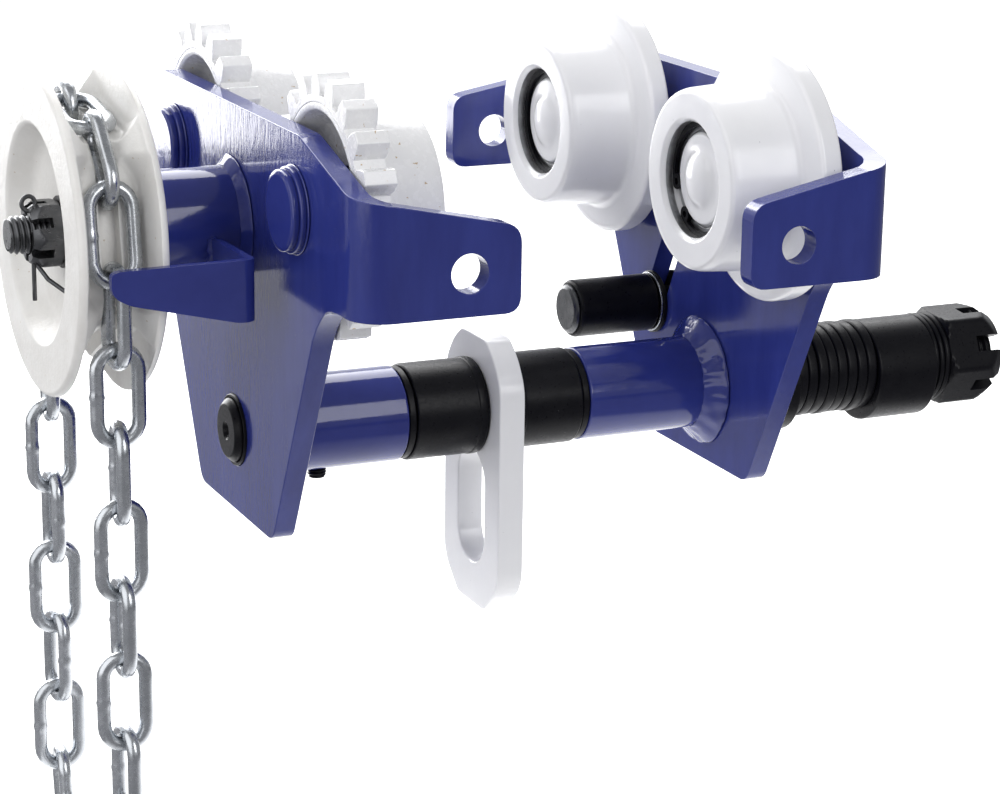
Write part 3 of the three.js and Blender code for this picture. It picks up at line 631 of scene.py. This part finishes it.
def geared_wheel(width, bearing_end, phase):
    drum = width - 11.5
    rim = [
        (0, 32.2, 3.4), (2.8, 33.2, 2.0), (drum - 3, 35.6, 2.0), (drum + 0.5, 36.4, 0), (drum + 0.5, 37.5, 0.2),
        (width - 0.6, 37.5, 0.2), (width - 0.6, 36.0, 0), (width, 35.6, 0.2), (width, 33.6, 1.6),
        (width - 8.7, 28.5, 3), (22.2, 24, 3), (22.2, 13.5, 0.5),
    ]
    body = turned(rim + wheel_core(22.2, bearing_end)[1:], 120)
    teeth = plate(gear_outline(WHEEL_TEETH, phase, -1.3, 0.9, 0.8), [circle(0, 0, 35.9, 96)], 11.5)
    bmesh.ops.dissolve_limit(teeth, angle_limit=0.001, verts=teeth.verts, edges=teeth.edges)
    ring = eased(standing(teeth, drum), 1.2, 3, 35)
    return merged(body, ring)


def axle_cap(back):
    """White domed end of an axle inside the wheel's bore, from the open face."""
    return turned([
        (back - 4.7, 0), (back - 4.6, 3), (back - 4.1, 6), (back - 3.2, 8.6, 1), (back - 1.9, 10.6, 1.2),
        (back - 1.5, 12.4, 1.2), (back - 1.3, 16.2, 0.6), (back - 0.2, 17, 0.5), (back, 16.6), (back, 0),
    ], 96, False)


def axle_shank(head_from, bearing_from, bearing_end, plate_inner):
    """Axle with its shoulder, and its two-step head outside the side plate."""
    x = head_from
    return turned([
        (bearing_from, 0), (bearing_from, 9.7), (bearing_end, 9.7), (bearing_end, 12.5), (plate_inner, 12.5),
        (plate_inner, 9.7), (x, 9.7), (x, 15.6, 0.3), (x + 0.5, 15.4, 0.3), (x + 0.7, 14.5, 0.2),
        (x + 0.9, 15.0, 0.3), (x + 2.6, 15.0, 0.7), (x + 2.9, 13.4, 0.3), (x + 3.2, 14.1, 0.5),
        (x + 5.3, 14.1, 0.8), (x + 5.6, 12.5, 0.5), (x + 5.6, 0),
    ], 96, False)


def circlip(face, turn, thick=1.5):
    """Snap ring with two eyelets either side of its opening, which points along turn (radians)."""
    gap = math.radians(17)
    outer = arc(0, 0, 21.2, math.degrees(gap), 360 - math.degrees(gap), 72)
    inner = []
    for u, v in reversed(outer):
        a = math.atan2(v, u) % (2 * math.pi)
        width = 1.6 + 0.9 * (0.5 - 0.5 * math.cos(a))
        inner.append(((21.2 - width) * math.cos(a), (21.2 - width) * math.sin(a)))
    ring = plate(outer + inner, [], thick)
    for side in (-1, 1):
        at = side * (gap + 0.06)
        u, v = 18.6 * math.cos(at), 18.6 * math.sin(at)
        ring = combined(ring, plate(circle(u, v, 2.9, 24), [circle(u, v, 1.3, 16)], thick + 0.4), "UNION")
    return spun(standing(eased(ring, 0.2, 2, 40), face), turn)


def bearing(x0, x1):
    """Sealed ball bearing: outer ring, shield, inner ring."""
    return turned([
        (x0, 10, 0.4), (x0, 12.6, 0.2), (x0 + 0.5, 12.8, 0.2), (x0 + 0.5, 17.6, 0.2), (x0, 17.8, 0.2), (x0, 21, 0.6),
        (x1, 21, 0.6), (x1, 17.8, 0.2), (x1 - 0.5, 17.6, 0.2), (x1 - 0.5, 12.8, 0.2), (x1, 12.6, 0.2), (x1, 10, 0.4),
    ], 96)


def wheel_phase(y):
    """Tooth phase that meshes with the pinion, whose tooth points at the near wheel."""
    drop = middle("plain_wheel_near").z - middle("drive_shaft_housing").z
    near = math.atan2(drop, middle("geared_wheel_near").y)
    to_wheel = math.atan2(drop, y)
    offset = math.fmod(near - to_wheel, 2 * math.pi / PINION_TEETH)
    return to_wheel + math.pi + math.pi / WHEEL_TEETH - offset * PINION_TEETH / WHEEL_TEETH


def make_wheel_set(kind, place, clip_turn):
    node = f"{kind}_wheel_{place}"
    centre = middle(f"plain_wheel_{place}")
    side = -1 if kind == "geared" else 1
    face = high(node).x if side < 0 else low(node).x

    def depth(x):
        return side * (x - face)

    def placed(bm):
        turned_round = flipped(bm) if side < 0 else bm
        return shifted(turned_round, face, centre.y, centre.z)
    clip = sorted(depth(x) for x in span(f"{kind}_circlip_{place}"))
    race = sorted(depth(x) for x in span(f"{kind}_bearing_{place}"))
    plate_name = f"{kind}_side_plate"
    outer = depth(low(plate_name).x if side < 0 else high(plate_name).x)
    seat_end = race[1] + 0.3
    width = high(node).x - low(node).x
    geared = kind == "geared"
    body = geared_wheel(width, seat_end, wheel_phase(centre.y)) if geared else plain_wheel(width, seat_end)
    piece(f"{node}_casting", placed(body), "worn_white" if geared else "white_paint", node, node)
    piece(f"{kind}_circlip_{place}_ring", placed(circlip(clip[0], clip_turn)), "black_steel", node,
          f"{kind}_circlip_{place}")
    piece(f"{kind}_bearing_{place}_races", placed(bearing(*race)), "grey_steel", node, f"{kind}_bearing_{place}")
    wall = turned([(1.8, 21.25), (1.8, 21.1), (clip[0] - 0.1, 21.1), (clip[0] - 0.1, 21.25)], 96)
    piece(f"{node}_bore_band", placed(wall), "grey_steel", node)
    shank = axle_shank(outer + 0.3, race[0] - 0.2, seat_end, outer - PLATE_T - 0.3)
    piece(f"{kind}_axle_{place}_shank", placed(shank), "blue_paint", ROOT, f"{kind}_axle_{place}")
    piece(f"{kind}_axle_{place}_cap", placed(axle_cap(race[0] - 0.3)), "white_paint", ROOT)


# ---------- load bar ----------
def make_bar():
    z = middle("load_bar").z
    x0 = low("load_bar").x
    nut_x = low("bar_castle_nut").x
    end = x0 - 0.8
    shank = turned([
        (end + 4.5, 0), (end + 4.0, 1.2, 0.3), (end + 1.4, 2.4, 0.2), (end, 3.4, 0.3), (end, 9.9, 0.5),
        (end + 1.9, 11.9, 0.5), (nut_x - 14, 12), (nut_x - 14, 0),
    ], 96, False)
    thread = threaded(nut_x - 14, high("bar_castle_nut").x - 1.2, 12, 3, 1, 96)
    piece("load_bar_rod", shifted(merged(shank, thread), 0, 0, z), "black_steel", ROOT, "load_bar")
    collar = turned([(x0 + 2.0, 12.1, 0.2), (x0 + 1.7, 13.2, 0.5), (x0 + 2.6, 13.4, 0.3), (x0 + 9, 13.4), (x0 + 9, 12.1)])
    piece("load_bar_seat_ring", shifted(collar, 0, 0, z), "black_steel", ROOT)
    for name, look, edge in (
        ("geared_spacer_tube", "blue_paint", 1.0), ("plain_spacer_tube", "blue_paint", 0.8),
        ("bush_geared", "black_steel", 0.9), ("bush_plain", "black_steel", 0.9),
        ("bush_ring_geared", "black_steel", 0.5), ("bush_ring_plain", "black_steel", 0.5),
    ):
        radius = (high(name).z - low(name).z) / 2
        piece(f"{name}_turned", shifted(tube(*span(name), radius, 12.3, edge), 0, 0, z), look, ROOT, name)
    for name, seam in (("bush_geared", high("bush_geared").x - 2.6), ("bush_plain", low("bush_plain").x + 2.6)):
        radius = high(name).z - z + 0.28
        piece(f"{name}_lip", shifted(tube(seam - 1.9, seam + 1.9, radius, 14, 0.9), 0, 0, z), "black_steel", ROOT)
    geared, plain = low("geared_tube_weld").x, high("plain_tube_weld").x
    piece("geared_tube_weld_bead", shifted(weld_bead(geared, 1, 17.9, 4.6, 1.3), 0, 0, z), "blue_paint", ROOT,
          "geared_tube_weld")
    piece("plain_tube_weld_bead", shifted(weld_bead(plain, -1, 17.9, 7.6, 4.1, 1.1), 0, 0, z), "blue_paint", ROOT,
          "plain_tube_weld")
    make_set_screw(z)


def make_set_screw(z):
    """Socket set screw under the geared spacer tube."""
    x = middle("tube_set_screw").x
    bottom = low("tube_set_screw").z - z + 2
    screw = threaded(bottom, -12.5, 3.7, 1.2, -1, 40)
    screw.transform(Matrix.Rotation(-math.pi / 2, 4, "Y"))
    piece("tube_set_screw_thread", shifted(screw, x, 0, z), "black_steel", ROOT, "tube_set_screw")


def make_load_plate():
    x0, x1 = span("load_plate")
    z = middle("load_bar").z
    half = high("load_plate").y
    top, bottom = high("load_plate").z - z, low("load_plate").z - z
    right = [
        (half - 14, bottom, 1.5), (half - 3, bottom + 9.5, 5), (half, bottom + 16, 5), (half, top - 16, 6),
        (half - 7, top - 6, 4), (half - 15, top, 3),
    ]
    outline = softened(right + [(-u, v, r) for u, v, r in right[::-1]], True, 6)
    hole = circle(0, 0, 12.5)
    slot = stadium(0, bottom + 29, 12.5, -bottom - 59, 0, 24)
    flat = plate(outline, [hole, slot], x1 - x0)
    bmesh.ops.dissolve_limit(flat, angle_limit=0.001, verts=flat.verts, edges=flat.edges)
    piece("load_plate_body", shifted(eased(standing(flat, x0), 1.2, 3), 0, 0, z), "white_paint", "load_plate",
          "load_plate")


def make_stack():
    """Sleeves, width washers and nut washers outside the plain plate."""
    for name in ("sleeve_inner", "sleeve_outer"):
        at = middle(name)
        body = tube(*span(name), 20.4, 15, 1.0, 128)
        piece(f"{name}_turned", shifted(body, 0, 0, at.z), "black_steel", ROOT, name)
    washers = [f"width_washer_{i}" for i in range(1, 9)] + [f"nut_washer_{i}" for i in range(1, 4)]
    for i, name in enumerate(washers):
        x0, x1 = span(name)
        drop = 0.25 + 0.22 * math.sin(2.4 * i)
        side = 0.25 * math.sin(1.7 * i + 0.6)
        body = tube(x0 - 0.1, x1 + 0.1, 18.25, 12.7, 1.1, 128)
        piece(f"{name}_disc", shifted(body, 0, side, middle(name).z - drop), "black_steel", ROOT, name)


def split_pin(length, radius, spread_out):
    """Split pin along Y with an eye at one end and its two legs bent apart at the other."""
    eye = [(0, -length / 2 - 2.2 + 2.2 * math.cos(a), 2.2 * math.sin(a)) for a in
           [math.radians(30 + 300 * k / 18) for k in range(19)]]
    legs = []
    for way in (-1, 1):
        path = [(0, -length / 2 + length * k / 6, way * radius * 0.5) for k in range(7)]
        path += [(0, length / 2 + spread_out * (0.25 + 0.2 * k), way * (radius * 0.5 + 0.9 * (k + 1) ** 1.35))
                 for k in range(4)]
        legs.append(swept(path, radius * 0.55, 12))
    return merged(swept(eye, radius * 0.6, 12), *legs)


def make_bar_nut():
    x0, x1 = span("bar_castle_nut")
    z = middle("load_bar").z
    nut = spun(castle_nut(36, x1 - x0, 11.6, 12, 6.4), math.radians(35))
    piece("bar_castle_nut_hex", shifted(nut, x0, 0, z), "black_steel", ROOT, "bar_castle_nut")
    pin = spun(split_pin(30, 1.8, 2), math.radians(95))
    piece("bar_split_pin_wire", shifted(pin, middle("bar_split_pin").x, 0, z), "dark_nut", ROOT, "bar_split_pin")


# ---------- drive ----------
def make_housing():
    x0, x1 = span("drive_shaft_housing")
    z = middle("drive_shaft_housing").z
    piece("housing_tube", shifted(tube(x0, x1, 19.7, 10, 0.9), 0, 0, z), "blue_paint", ROOT, "drive_shaft_housing")
    bead = weld_bead(high("housing_weld").x, -1, 19.6, 3.6, 2.6, 0.9)
    piece("housing_weld_bead", shifted(bead, 0, 0, z), "blue_paint", ROOT, "housing_weld")


def make_guide():
    """Bent sheet that keeps the chain in its groove: one arm on the housing, one along the wheel."""
    first, last = low("chain_guide"), high("chain_guide")
    sheet, radius = 3, 5
    run = (radius - sheet / 2) * math.pi / 2
    arm = last.x - first.x - radius
    back = last.y - first.y - radius
    depth = last.z - first.z
    pattern = softened([
        (-arm, -1.4, 2.5), (-arm, -9.0, 4), (-arm + 6, -12.6, 5), (-2, -depth, 2), (run + back, -depth, 1),
        (run + back, -1, 1), (run, -0.2, 1), (0, 0, 1), (-arm + 3, -0.6, 4),
    ], True, 5)
    flat = eased(plate(pattern, [], sheet), 0.5, 2)
    for k in range(9):
        geom = flat.verts[:] + flat.edges[:] + flat.faces[:]
        bmesh.ops.bisect_plane(flat, geom=geom, plane_co=(run * k / 8, 0, 0), plane_no=(1, 0, 0), dist=1e-5)
    for v in flat.verts:
        s, up, depth_in = v.co
        turn = min(max(s, 0) / (radius - sheet / 2), math.pi / 2)
        past = max(0, s - run)
        x = last.x - radius + (min(s, 0)) + (radius - depth_in) * math.sin(turn)
        y = first.y + radius - (radius - depth_in) * math.cos(turn) + past
        v.co = (x, y, last.z + up)
    bmesh.ops.recalc_face_normals(flat, faces=flat.faces)
    piece("chain_guide_sheet", flat, "blue_paint", ROOT, "chain_guide")
    z = middle("drive_shaft_housing").z
    blob = [(last.x - 2.5 + 0.5 * math.sin(1.9 * k), last.y + 0.6 - 0.25 * k, z - 2 - 1.3 * k) for k in range(13)]

    def girth(i):
        return 1.9 + 0.5 * math.sin(2.3 * i) - 0.05 * abs(i - 6)
    piece("chain_guide_weld", swept(blob, girth, 16), "blue_paint", ROOT)


def make_drive_shaft():
    outer = low("geared_side_plate").x
    z = middle("drive_shaft_housing").z
    drop = middle("plain_wheel_near").z - z
    phase = math.atan2(drop, middle("geared_wheel_near").y)
    seat = low("hand_wheel").x + DISH_DEPTH
    x0, x1 = span("drive_shaft")
    rod = turned([(seat, 0), (seat, 9.7, 0.4), (x1, 9.7, 0.8), (x1, 0)], 64, False)
    end = threaded(x0, seat + 0.1, 6.9, 2, -1, 72)
    face = outer + PLATE_T + 0.8
    teeth = plate(gear_outline(PINION_TEETH, phase, 2.0, 0.55, 1.15), [circle(0, 0, 9.8, 48)], 9)
    bmesh.ops.dissolve_limit(teeth, angle_limit=0.001, verts=teeth.verts, edges=teeth.edges)
    pinion = eased(standing(teeth, face), 0.6, 2, 35)
    piece("drive_shaft_rod", shifted(merged(rod, end, pinion), 0, 0, z), "dark_nut", "drive", "drive_shaft")
    nut_x = high("shaft_castle_nut").x - 1.3
    nut = spun(flipped(castle_nut(22, nut_x - low("shaft_castle_nut").x, 6.6, 7.2, 3.8)), math.radians(30))
    piece("shaft_castle_nut_hex", shifted(nut, nut_x, 0, z), "dark_nut", "drive", "shaft_castle_nut")
    washer = tube(seat - 1.4, seat - 0.1, 12.8, 7.1, 0.4)
    piece("hand_wheel_washer", shifted(washer, 0, 0, z), "black_steel", "drive")
    make_shaft_pin(z)


def make_shaft_pin(z):
    """Long split pin of the hand wheel's nut: its eye on top, one leg hanging straight, one bent back."""
    x = middle("shaft_split_pin").x
    wire = 0.8
    eye = [(x - 2.6 + 2.4 * math.cos(a), -3, z + 11.5 + 2.6 * math.sin(a)) for a in
           [math.radians(-40 + 330 * k / 22) for k in range(23)]]
    straight = [(x - 1.4, -3.4, z + 10.5 - 4.2 * k) for k in range(9)]
    bent_leg = [(x - 0.2, -3.4, z + 10.5 - 4.2 * k) for k in range(6)]
    bent_leg += [(x + 0.6 + 1.9 * k, -5.4 - 2.2 * k, z - 13.5 - 1.5 * k) for k in range(1, 6)]
    parts = [swept(line, wire, 12) for line in (eye, straight, bent_leg)]
    piece("shaft_split_pin_wire", merged(*parts), "dark_nut", "drive", "shaft_split_pin")


def make_hand_wheel():
    at = middle("drive_shaft_housing")
    x0 = low("hand_wheel").x
    width = high("hand_wheel").x - x0 - HUB_PROUD
    mid = x0 + width / 2
    pocket_floor, pocket_half, pocket_r = 40.2, 13.0, 11.4

    def pockets(x, r, a):
        across = x
        if abs(across) > 12.4 or r < 34 or r > 57.5:
            return r
        best = r
        for k in range(5):
            toward = FIRST_LINK + k * math.radians(72)
            off = (a - toward + math.pi) % (2 * math.pi) - math.pi
            if abs(off) > 0.8:
                continue
            along = 43 * math.sin(off)
            edge = math.hypot(max(0, abs(along) - pocket_half), across) - pocket_r
            floor = pocket_floor / math.cos(off)
            wall = floor + 3.2 * max(0, edge) + 0.5 * max(0, edge + 2.0)
            best = min(best, wall)
        return max(best, 35.2) if r > 36 else r
    lip = width / 2 - 3.4
    groove = [(-lip, 57.7, 1.0)]
    groove += [(-lip + (lip - 4.3) * k / 13, 56.8 - 0.78 * k) for k in range(1, 13)]
    groove += [(-3.9, 46.8), (-3.6, 45.6), (-3.5, 43.0), (-3.5, 40.0), (-3.4, 37.0), (-3.2, 35.5)]
    groove = groove + [(0, 35.3)] + [(-p[0], p[1], 1.0) if len(p) > 2 else (-p[0], p[1]) for p in groove[::-1]]
    half = width / 2
    profile = [
        (half + 2, 10, 0.6), (-half + DISH_DEPTH, 10, 0.6), (-half + DISH_DEPTH, 24, 1.5),
        (-half + DISH_DEPTH - 0.8, 33.6, 3), (-half + 2.0, 37.6, 1.6), (-half, 38.8, 1.3), (-half, 56.6, 1.4), (-half + 1.4, 57.7, 1.2),
    ] + groove + [
        (half - 1.4, 57.7, 1.2), (half, 56.6, 1.4), (half, 40, 2), (half - 6, 36, 4), (half - 6, 24, 3),
        (half + 1, 20, 2), (half + 2, 19, 1),
    ]
    wheel = turned(profile, 360, True, pockets)
    piece("hand_wheel_casting", shifted(wheel, mid, 0, at.z), "cast_white", "drive", "hand_wheel")


# ---------- hand chain ----------
def link_mesh():
    """One welded link along local X, its width along local Y, with the weld upset on one side."""
    bend = CHAIN_OUT_W / 2 - WIRE_R
    straight = (CHAIN_PITCH + 4 * WIRE_R - CHAIN_OUT_W) / 2
    path = []
    for way in (1, -1):
        path += [(way * straight * (2 * k / 12 - 1), -way * bend, 0) for k in range(12)]
        for k in range(12):
            a = math.radians(-90 + 180 * k / 12)
            path.append((way * (straight + bend * math.cos(a)), way * bend * math.sin(a), 0))

    def upset(i):
        return WIRE_R + (0.32 if i == 6 else 0)
    bm = swept(path, upset, 20, True)
    mesh = bpy.data.meshes.new("hand_chain_link")
    bm.to_mesh(mesh)
    bm.free()
    mesh.transform(Matrix.Scale(MM, 4))
    mesh.materials.append(LOOKS["zinc"])
    mesh.shade_smooth()
    return mesh


def chain_joints():
    """(y, z) of the points where the links touch, about the hand wheel's axis, once round the loop."""
    top = [FIRST_LINK + LINK_TURN / 2 - LINK_TURN * k for k in range(6)]
    points = [(JOINT_R * math.cos(a), JOINT_R * math.sin(a)) for a in top]
    y, z = points[-1]
    drop = 8 * CHAIN_PITCH
    points += [(y, z - CHAIN_PITCH * k) for k in range(1, 9)]
    low_arc = [top[-1] - LINK_TURN * k for k in range(1, 6)]
    points += [(JOINT_R * math.cos(a), JOINT_R * math.sin(a) - drop) for a in low_arc]
    y, z = points[-1]
    points += [(y, z + CHAIN_PITCH * k) for k in range(1, 8)]
    return points


def make_chain():
    x = middle("hand_chain").x
    axis_z = middle("drive_shaft_housing").z
    mesh = link_mesh()
    joints = chain_joints()
    for i, (y, z) in enumerate(joints):
        after_y, after_z = joints[(i + 1) % len(joints)]
        along = Vector((0, after_y - y, after_z - z)).normalized()
        wide = Vector((1, 0, 0)) if i % 2 == 0 else Vector((1, 0, 0)).cross(along)
        sway = math.radians(7 * math.sin(2.1 * i)) if 5 <= i else 0
        wide = Matrix.Rotation(sway, 3, along) @ wide
        thick = along.cross(wide)
        place = Matrix((along, wide, thick)).transposed().to_4x4()
        place.translation = Vector((x, (y + after_y) / 2, axis_z + (z + after_z) / 2)) * MM
        obj = bpy.data.objects.new(f"hand_chain_link_{i + 1:02d}", mesh)
        bpy.context.scene.collection.objects.link(obj)
        obj.matrix_world = place
        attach(obj, "hand_chain")
        if i == 0:
            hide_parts("hand_chain")


# ---------- anti-tilt roller ----------
def make_roller():
    at = middle("anti_tilt_roller")
    x0, x1 = span("anti_tilt_roller")
    sleeve = turned([
        (x0 + 2.2, 0), (x0 + 2.2, 10.3), (x0 + 2.3, 10.9, 0.3), (x0 + 3.2, 11.5, 0.5), (x1 - 0.8, 11.5, 0.4),
        (x1, 10.7, 0.3), (x1, 6.4), (x0 + 4, 6.4), (x0 + 4, 0),
    ], 96, False)
    piece("anti_tilt_roller_sleeve", shifted(sleeve, 0, at.y, at.z), "black_steel", "anti_tilt_roller",
          "anti_tilt_roller")
    cap = turned([
        (x0 + 0.25, 0), (x0 + 0.15, 3), (x0 + 0.05, 6), (x0, 8.3, 0.3), (x0 + 0.9, 9.7, 0.5), (x0 + 2.5, 10.2), (x0 + 2.5, 0),
    ], 96, False)
    piece("anti_tilt_roller_end", shifted(cap, 0, at.y, at.z), "dark_nut", "anti_tilt_roller")
    s0, s1 = span("anti_tilt_stud")
    flange = x1 + 0.3
    stud = turned([
        (s0, 0), (s0, 6, 0.4), (flange, 6), (flange, 11.4, 0.2), (flange + 0.9, 11.4, 0.1), (flange + 0.9, 12.6, 0.3),
        (flange + 2.4, 12.6, 0.3), (flange + 2.4, 6), (s1 - 13, 6), (s1 - 13, 0),
    ], 96, False)
    shim = tube(flange + 0.05, flange + 0.75, 12.0, 6.2, 0.2)
    piece("anti_tilt_shim", shifted(shim, 0, at.y, at.z), "zinc", ROOT)
    thread = threaded(s1 - 13.1, s1, 6, 1.75, 1, 48)
    piece("anti_tilt_stud_turned", shifted(merged(stud, thread), 0, at.y, at.z), "black_steel", ROOT, "anti_tilt_stud")
    washer = tube(*span("anti_tilt_washer"), 12, 6.4, 0.4)
    piece("anti_tilt_washer_disc", shifted(washer, 0, at.y, at.z), "black_steel", ROOT, "anti_tilt_washer")
    n0, n1 = span("anti_tilt_nut")
    nut = castle_nut(19, n1 - n0, 5.7, 0, 0)
    piece("anti_tilt_nut_hex", shifted(nut, n0, at.y, at.z), "black_steel", ROOT, "anti_tilt_nut")


# ---------- camera, floor and light ----------
def make_camera():
    a, e, roll = (math.radians(v) for v in (VIEW_AZIMUTH, VIEW_ELEVATION, VIEW_ROLL))
    forward = Vector((math.sin(a) * math.cos(e), math.cos(a) * math.cos(e), -math.sin(e)))
    level = Vector((math.cos(a), -math.sin(a), 0))
    rise = level.cross(forward)
    right = level * math.cos(roll) + rise * math.sin(roll)
    up = rise * math.cos(roll) - level * math.sin(roll)
    data = bpy.data.cameras.new("camera")
    data.lens = LENS
    data.clip_start = 0.01
    camera = bpy.data.objects.new("camera", data)
    bpy.context.scene.collection.objects.link(camera)
    place = Matrix((right, up, -forward)).transposed().to_4x4()
    place.translation = Vector(VIEW_TARGET) - forward * VIEW_DISTANCE
    camera.matrix_world = place
    bpy.context.scene.camera = camera


def stepped(tree, value, low_value, high_value):
    node = tree.nodes.new("ShaderNodeMapRange")
    node.interpolation_type = "SMOOTHSTEP"
    node.inputs["From Min"].default_value = low_value
    node.inputs["From Max"].default_value = high_value
    tree.links.new(value, node.inputs["Value"])
    return node.outputs["Result"]


def math_node(tree, operation, first, second):
    node = tree.nodes.new("ShaderNodeMath")
    node.operation = operation
    for socket, value in zip(node.inputs, (first, second)):
        if isinstance(value, (int, float)):
            socket.default_value = value
        else:
            tree.links.new(value, socket)
    return node.outputs["Value"]


def along(tree, where, direction):
    node = tree.nodes.new("ShaderNodeVectorMath")
    node.operation = "DOT_PRODUCT"
    node.inputs[1].default_value = direction
    tree.links.new(where, node.inputs[0])
    return node.outputs["Value"]


def make_floor():
    """Pale floor with painted light: it glows in a painted pool of light behind the trolley, and its colour is painted
    darker, as painted shade, to its front and left.
    """
    bm = bmesh.new()
    bmesh.ops.create_grid(bm, x_segments=1, y_segments=1, size=FLOOR_SIZE)
    mesh = bpy.data.meshes.new("floor")
    bm.to_mesh(mesh)
    bm.free()
    floor = bpy.data.objects.new("floor", mesh)
    floor.location.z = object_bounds()[0].z - FLOOR_GAP
    bpy.context.scene.collection.objects.link(floor)
    material = bpy.data.materials.new("floor_painted_light")
    tree, shader = nodes_of(material)
    where = place_nodes(tree, (1, 1, 1))
    # Mask of the painted pool of light, laid out along the view: behind the trolley and between two side limits.
    back = along(tree, where, (0.414, 0.910, 0))
    side = along(tree, where, (0.910, -0.414, 0))
    spread_out = math_node(tree, "DIVIDE", side, math_node(tree, "ADD", back, VIEW_DISTANCE))
    sides = math_node(tree, "MULTIPLY", stepped(tree, spread_out, -0.235, -0.20), stepped(tree, spread_out, 0.28, 0.21))
    lit = math_node(tree, "MULTIPLY", stepped(tree, back, -0.35, 0.05), sides)
    # Painted shade: the base colour is dark outside the pool and pale inside it.
    tree.links.new(ramp(tree, lit, [(0, (0.24, 0.24, 0.25)), (1, (0.72, 0.72, 0.72))]), shader.inputs["Base Color"])
    # Painted light: the floor glows inside the pool, though it is no lamp.
    tree.links.new(math_node(tree, "MULTIPLY", lit, FLOOR_PAINTED_GLOW), shader.inputs["Emission Strength"])
    shader.inputs["Emission Color"].default_value = (1, 1, 1, 1)
    shader.inputs["Roughness"].default_value = 0.9
    shader.inputs["Specular IOR Level"].default_value = 0.1
    mesh.materials.append(material)


def area_light(name, place, target, size, power):
    data = bpy.data.lights.new(name, "AREA")
    data.shape = "RECTANGLE"
    data.size, data.size_y = size
    data.energy = power
    light = bpy.data.objects.new(name, data)
    bpy.context.scene.collection.objects.link(light)
    light.location = place
    aim = Vector(target) - Vector(place)
    light.rotation_euler = aim.to_track_quat("-Z", "Y").to_euler()
    light.visible_camera = False


def make_world():
    """Dim room in front, bright behind and above."""
    world = bpy.data.worlds.new("studio")
    world.use_nodes = True
    tree = world.node_tree
    coords = tree.nodes.new("ShaderNodeTexCoord")
    behind = stepped(tree, along(tree, coords.outputs["Generated"], (0.1, 1, 0)), 0.45, 0.90)
    above = stepped(tree, along(tree, coords.outputs["Generated"], (0, 0, 1)), 0.1, 1.0)
    glow = math_node(tree, "ADD", math_node(tree, "MULTIPLY", behind, 0.95), math_node(tree, "MULTIPLY", above, -0.10))
    background = tree.nodes["Background"]
    background.inputs["Color"].default_value = (0.96, 0.97, 1, 1)
    tree.links.new(math_node(tree, "ADD", glow, 0.46), background.inputs["Strength"])
    bpy.context.scene.world = world


def make_light():
    make_world()
    area_light("back_card", (-0.265, 1.40, 0.34), (-0.10, 0, 0.30), (0.67, 1.13), 15)
    area_light("top_soft", (0.25, 1.25, 1.25), (0, 0, 0), (2.0, 1.2), 38)
    area_light("left_soft", (-1.3, -0.25, 0.5), (-0.1, 0, 0), (1.8, 1.8), 14)
    area_light("front_fill", (0.35, -1.5, 0.75), (0, 0, 0), (0.8, 1.0), 10)


make_plates()
for wheel_place, turn in (("near", math.radians(-33)), ("far", math.radians(180))):
    make_wheel_set("plain", wheel_place, turn)
    make_wheel_set("geared", wheel_place, turn)
make_bar()
make_load_plate()
make_stack()
make_bar_nut()
make_housing()
make_guide()
make_drive_shaft()
make_hand_wheel()
make_chain()
make_roller()
make_camera()
make_floor()
make_light()
bpy.context.scene.view_settings.view_transform = "Standard"
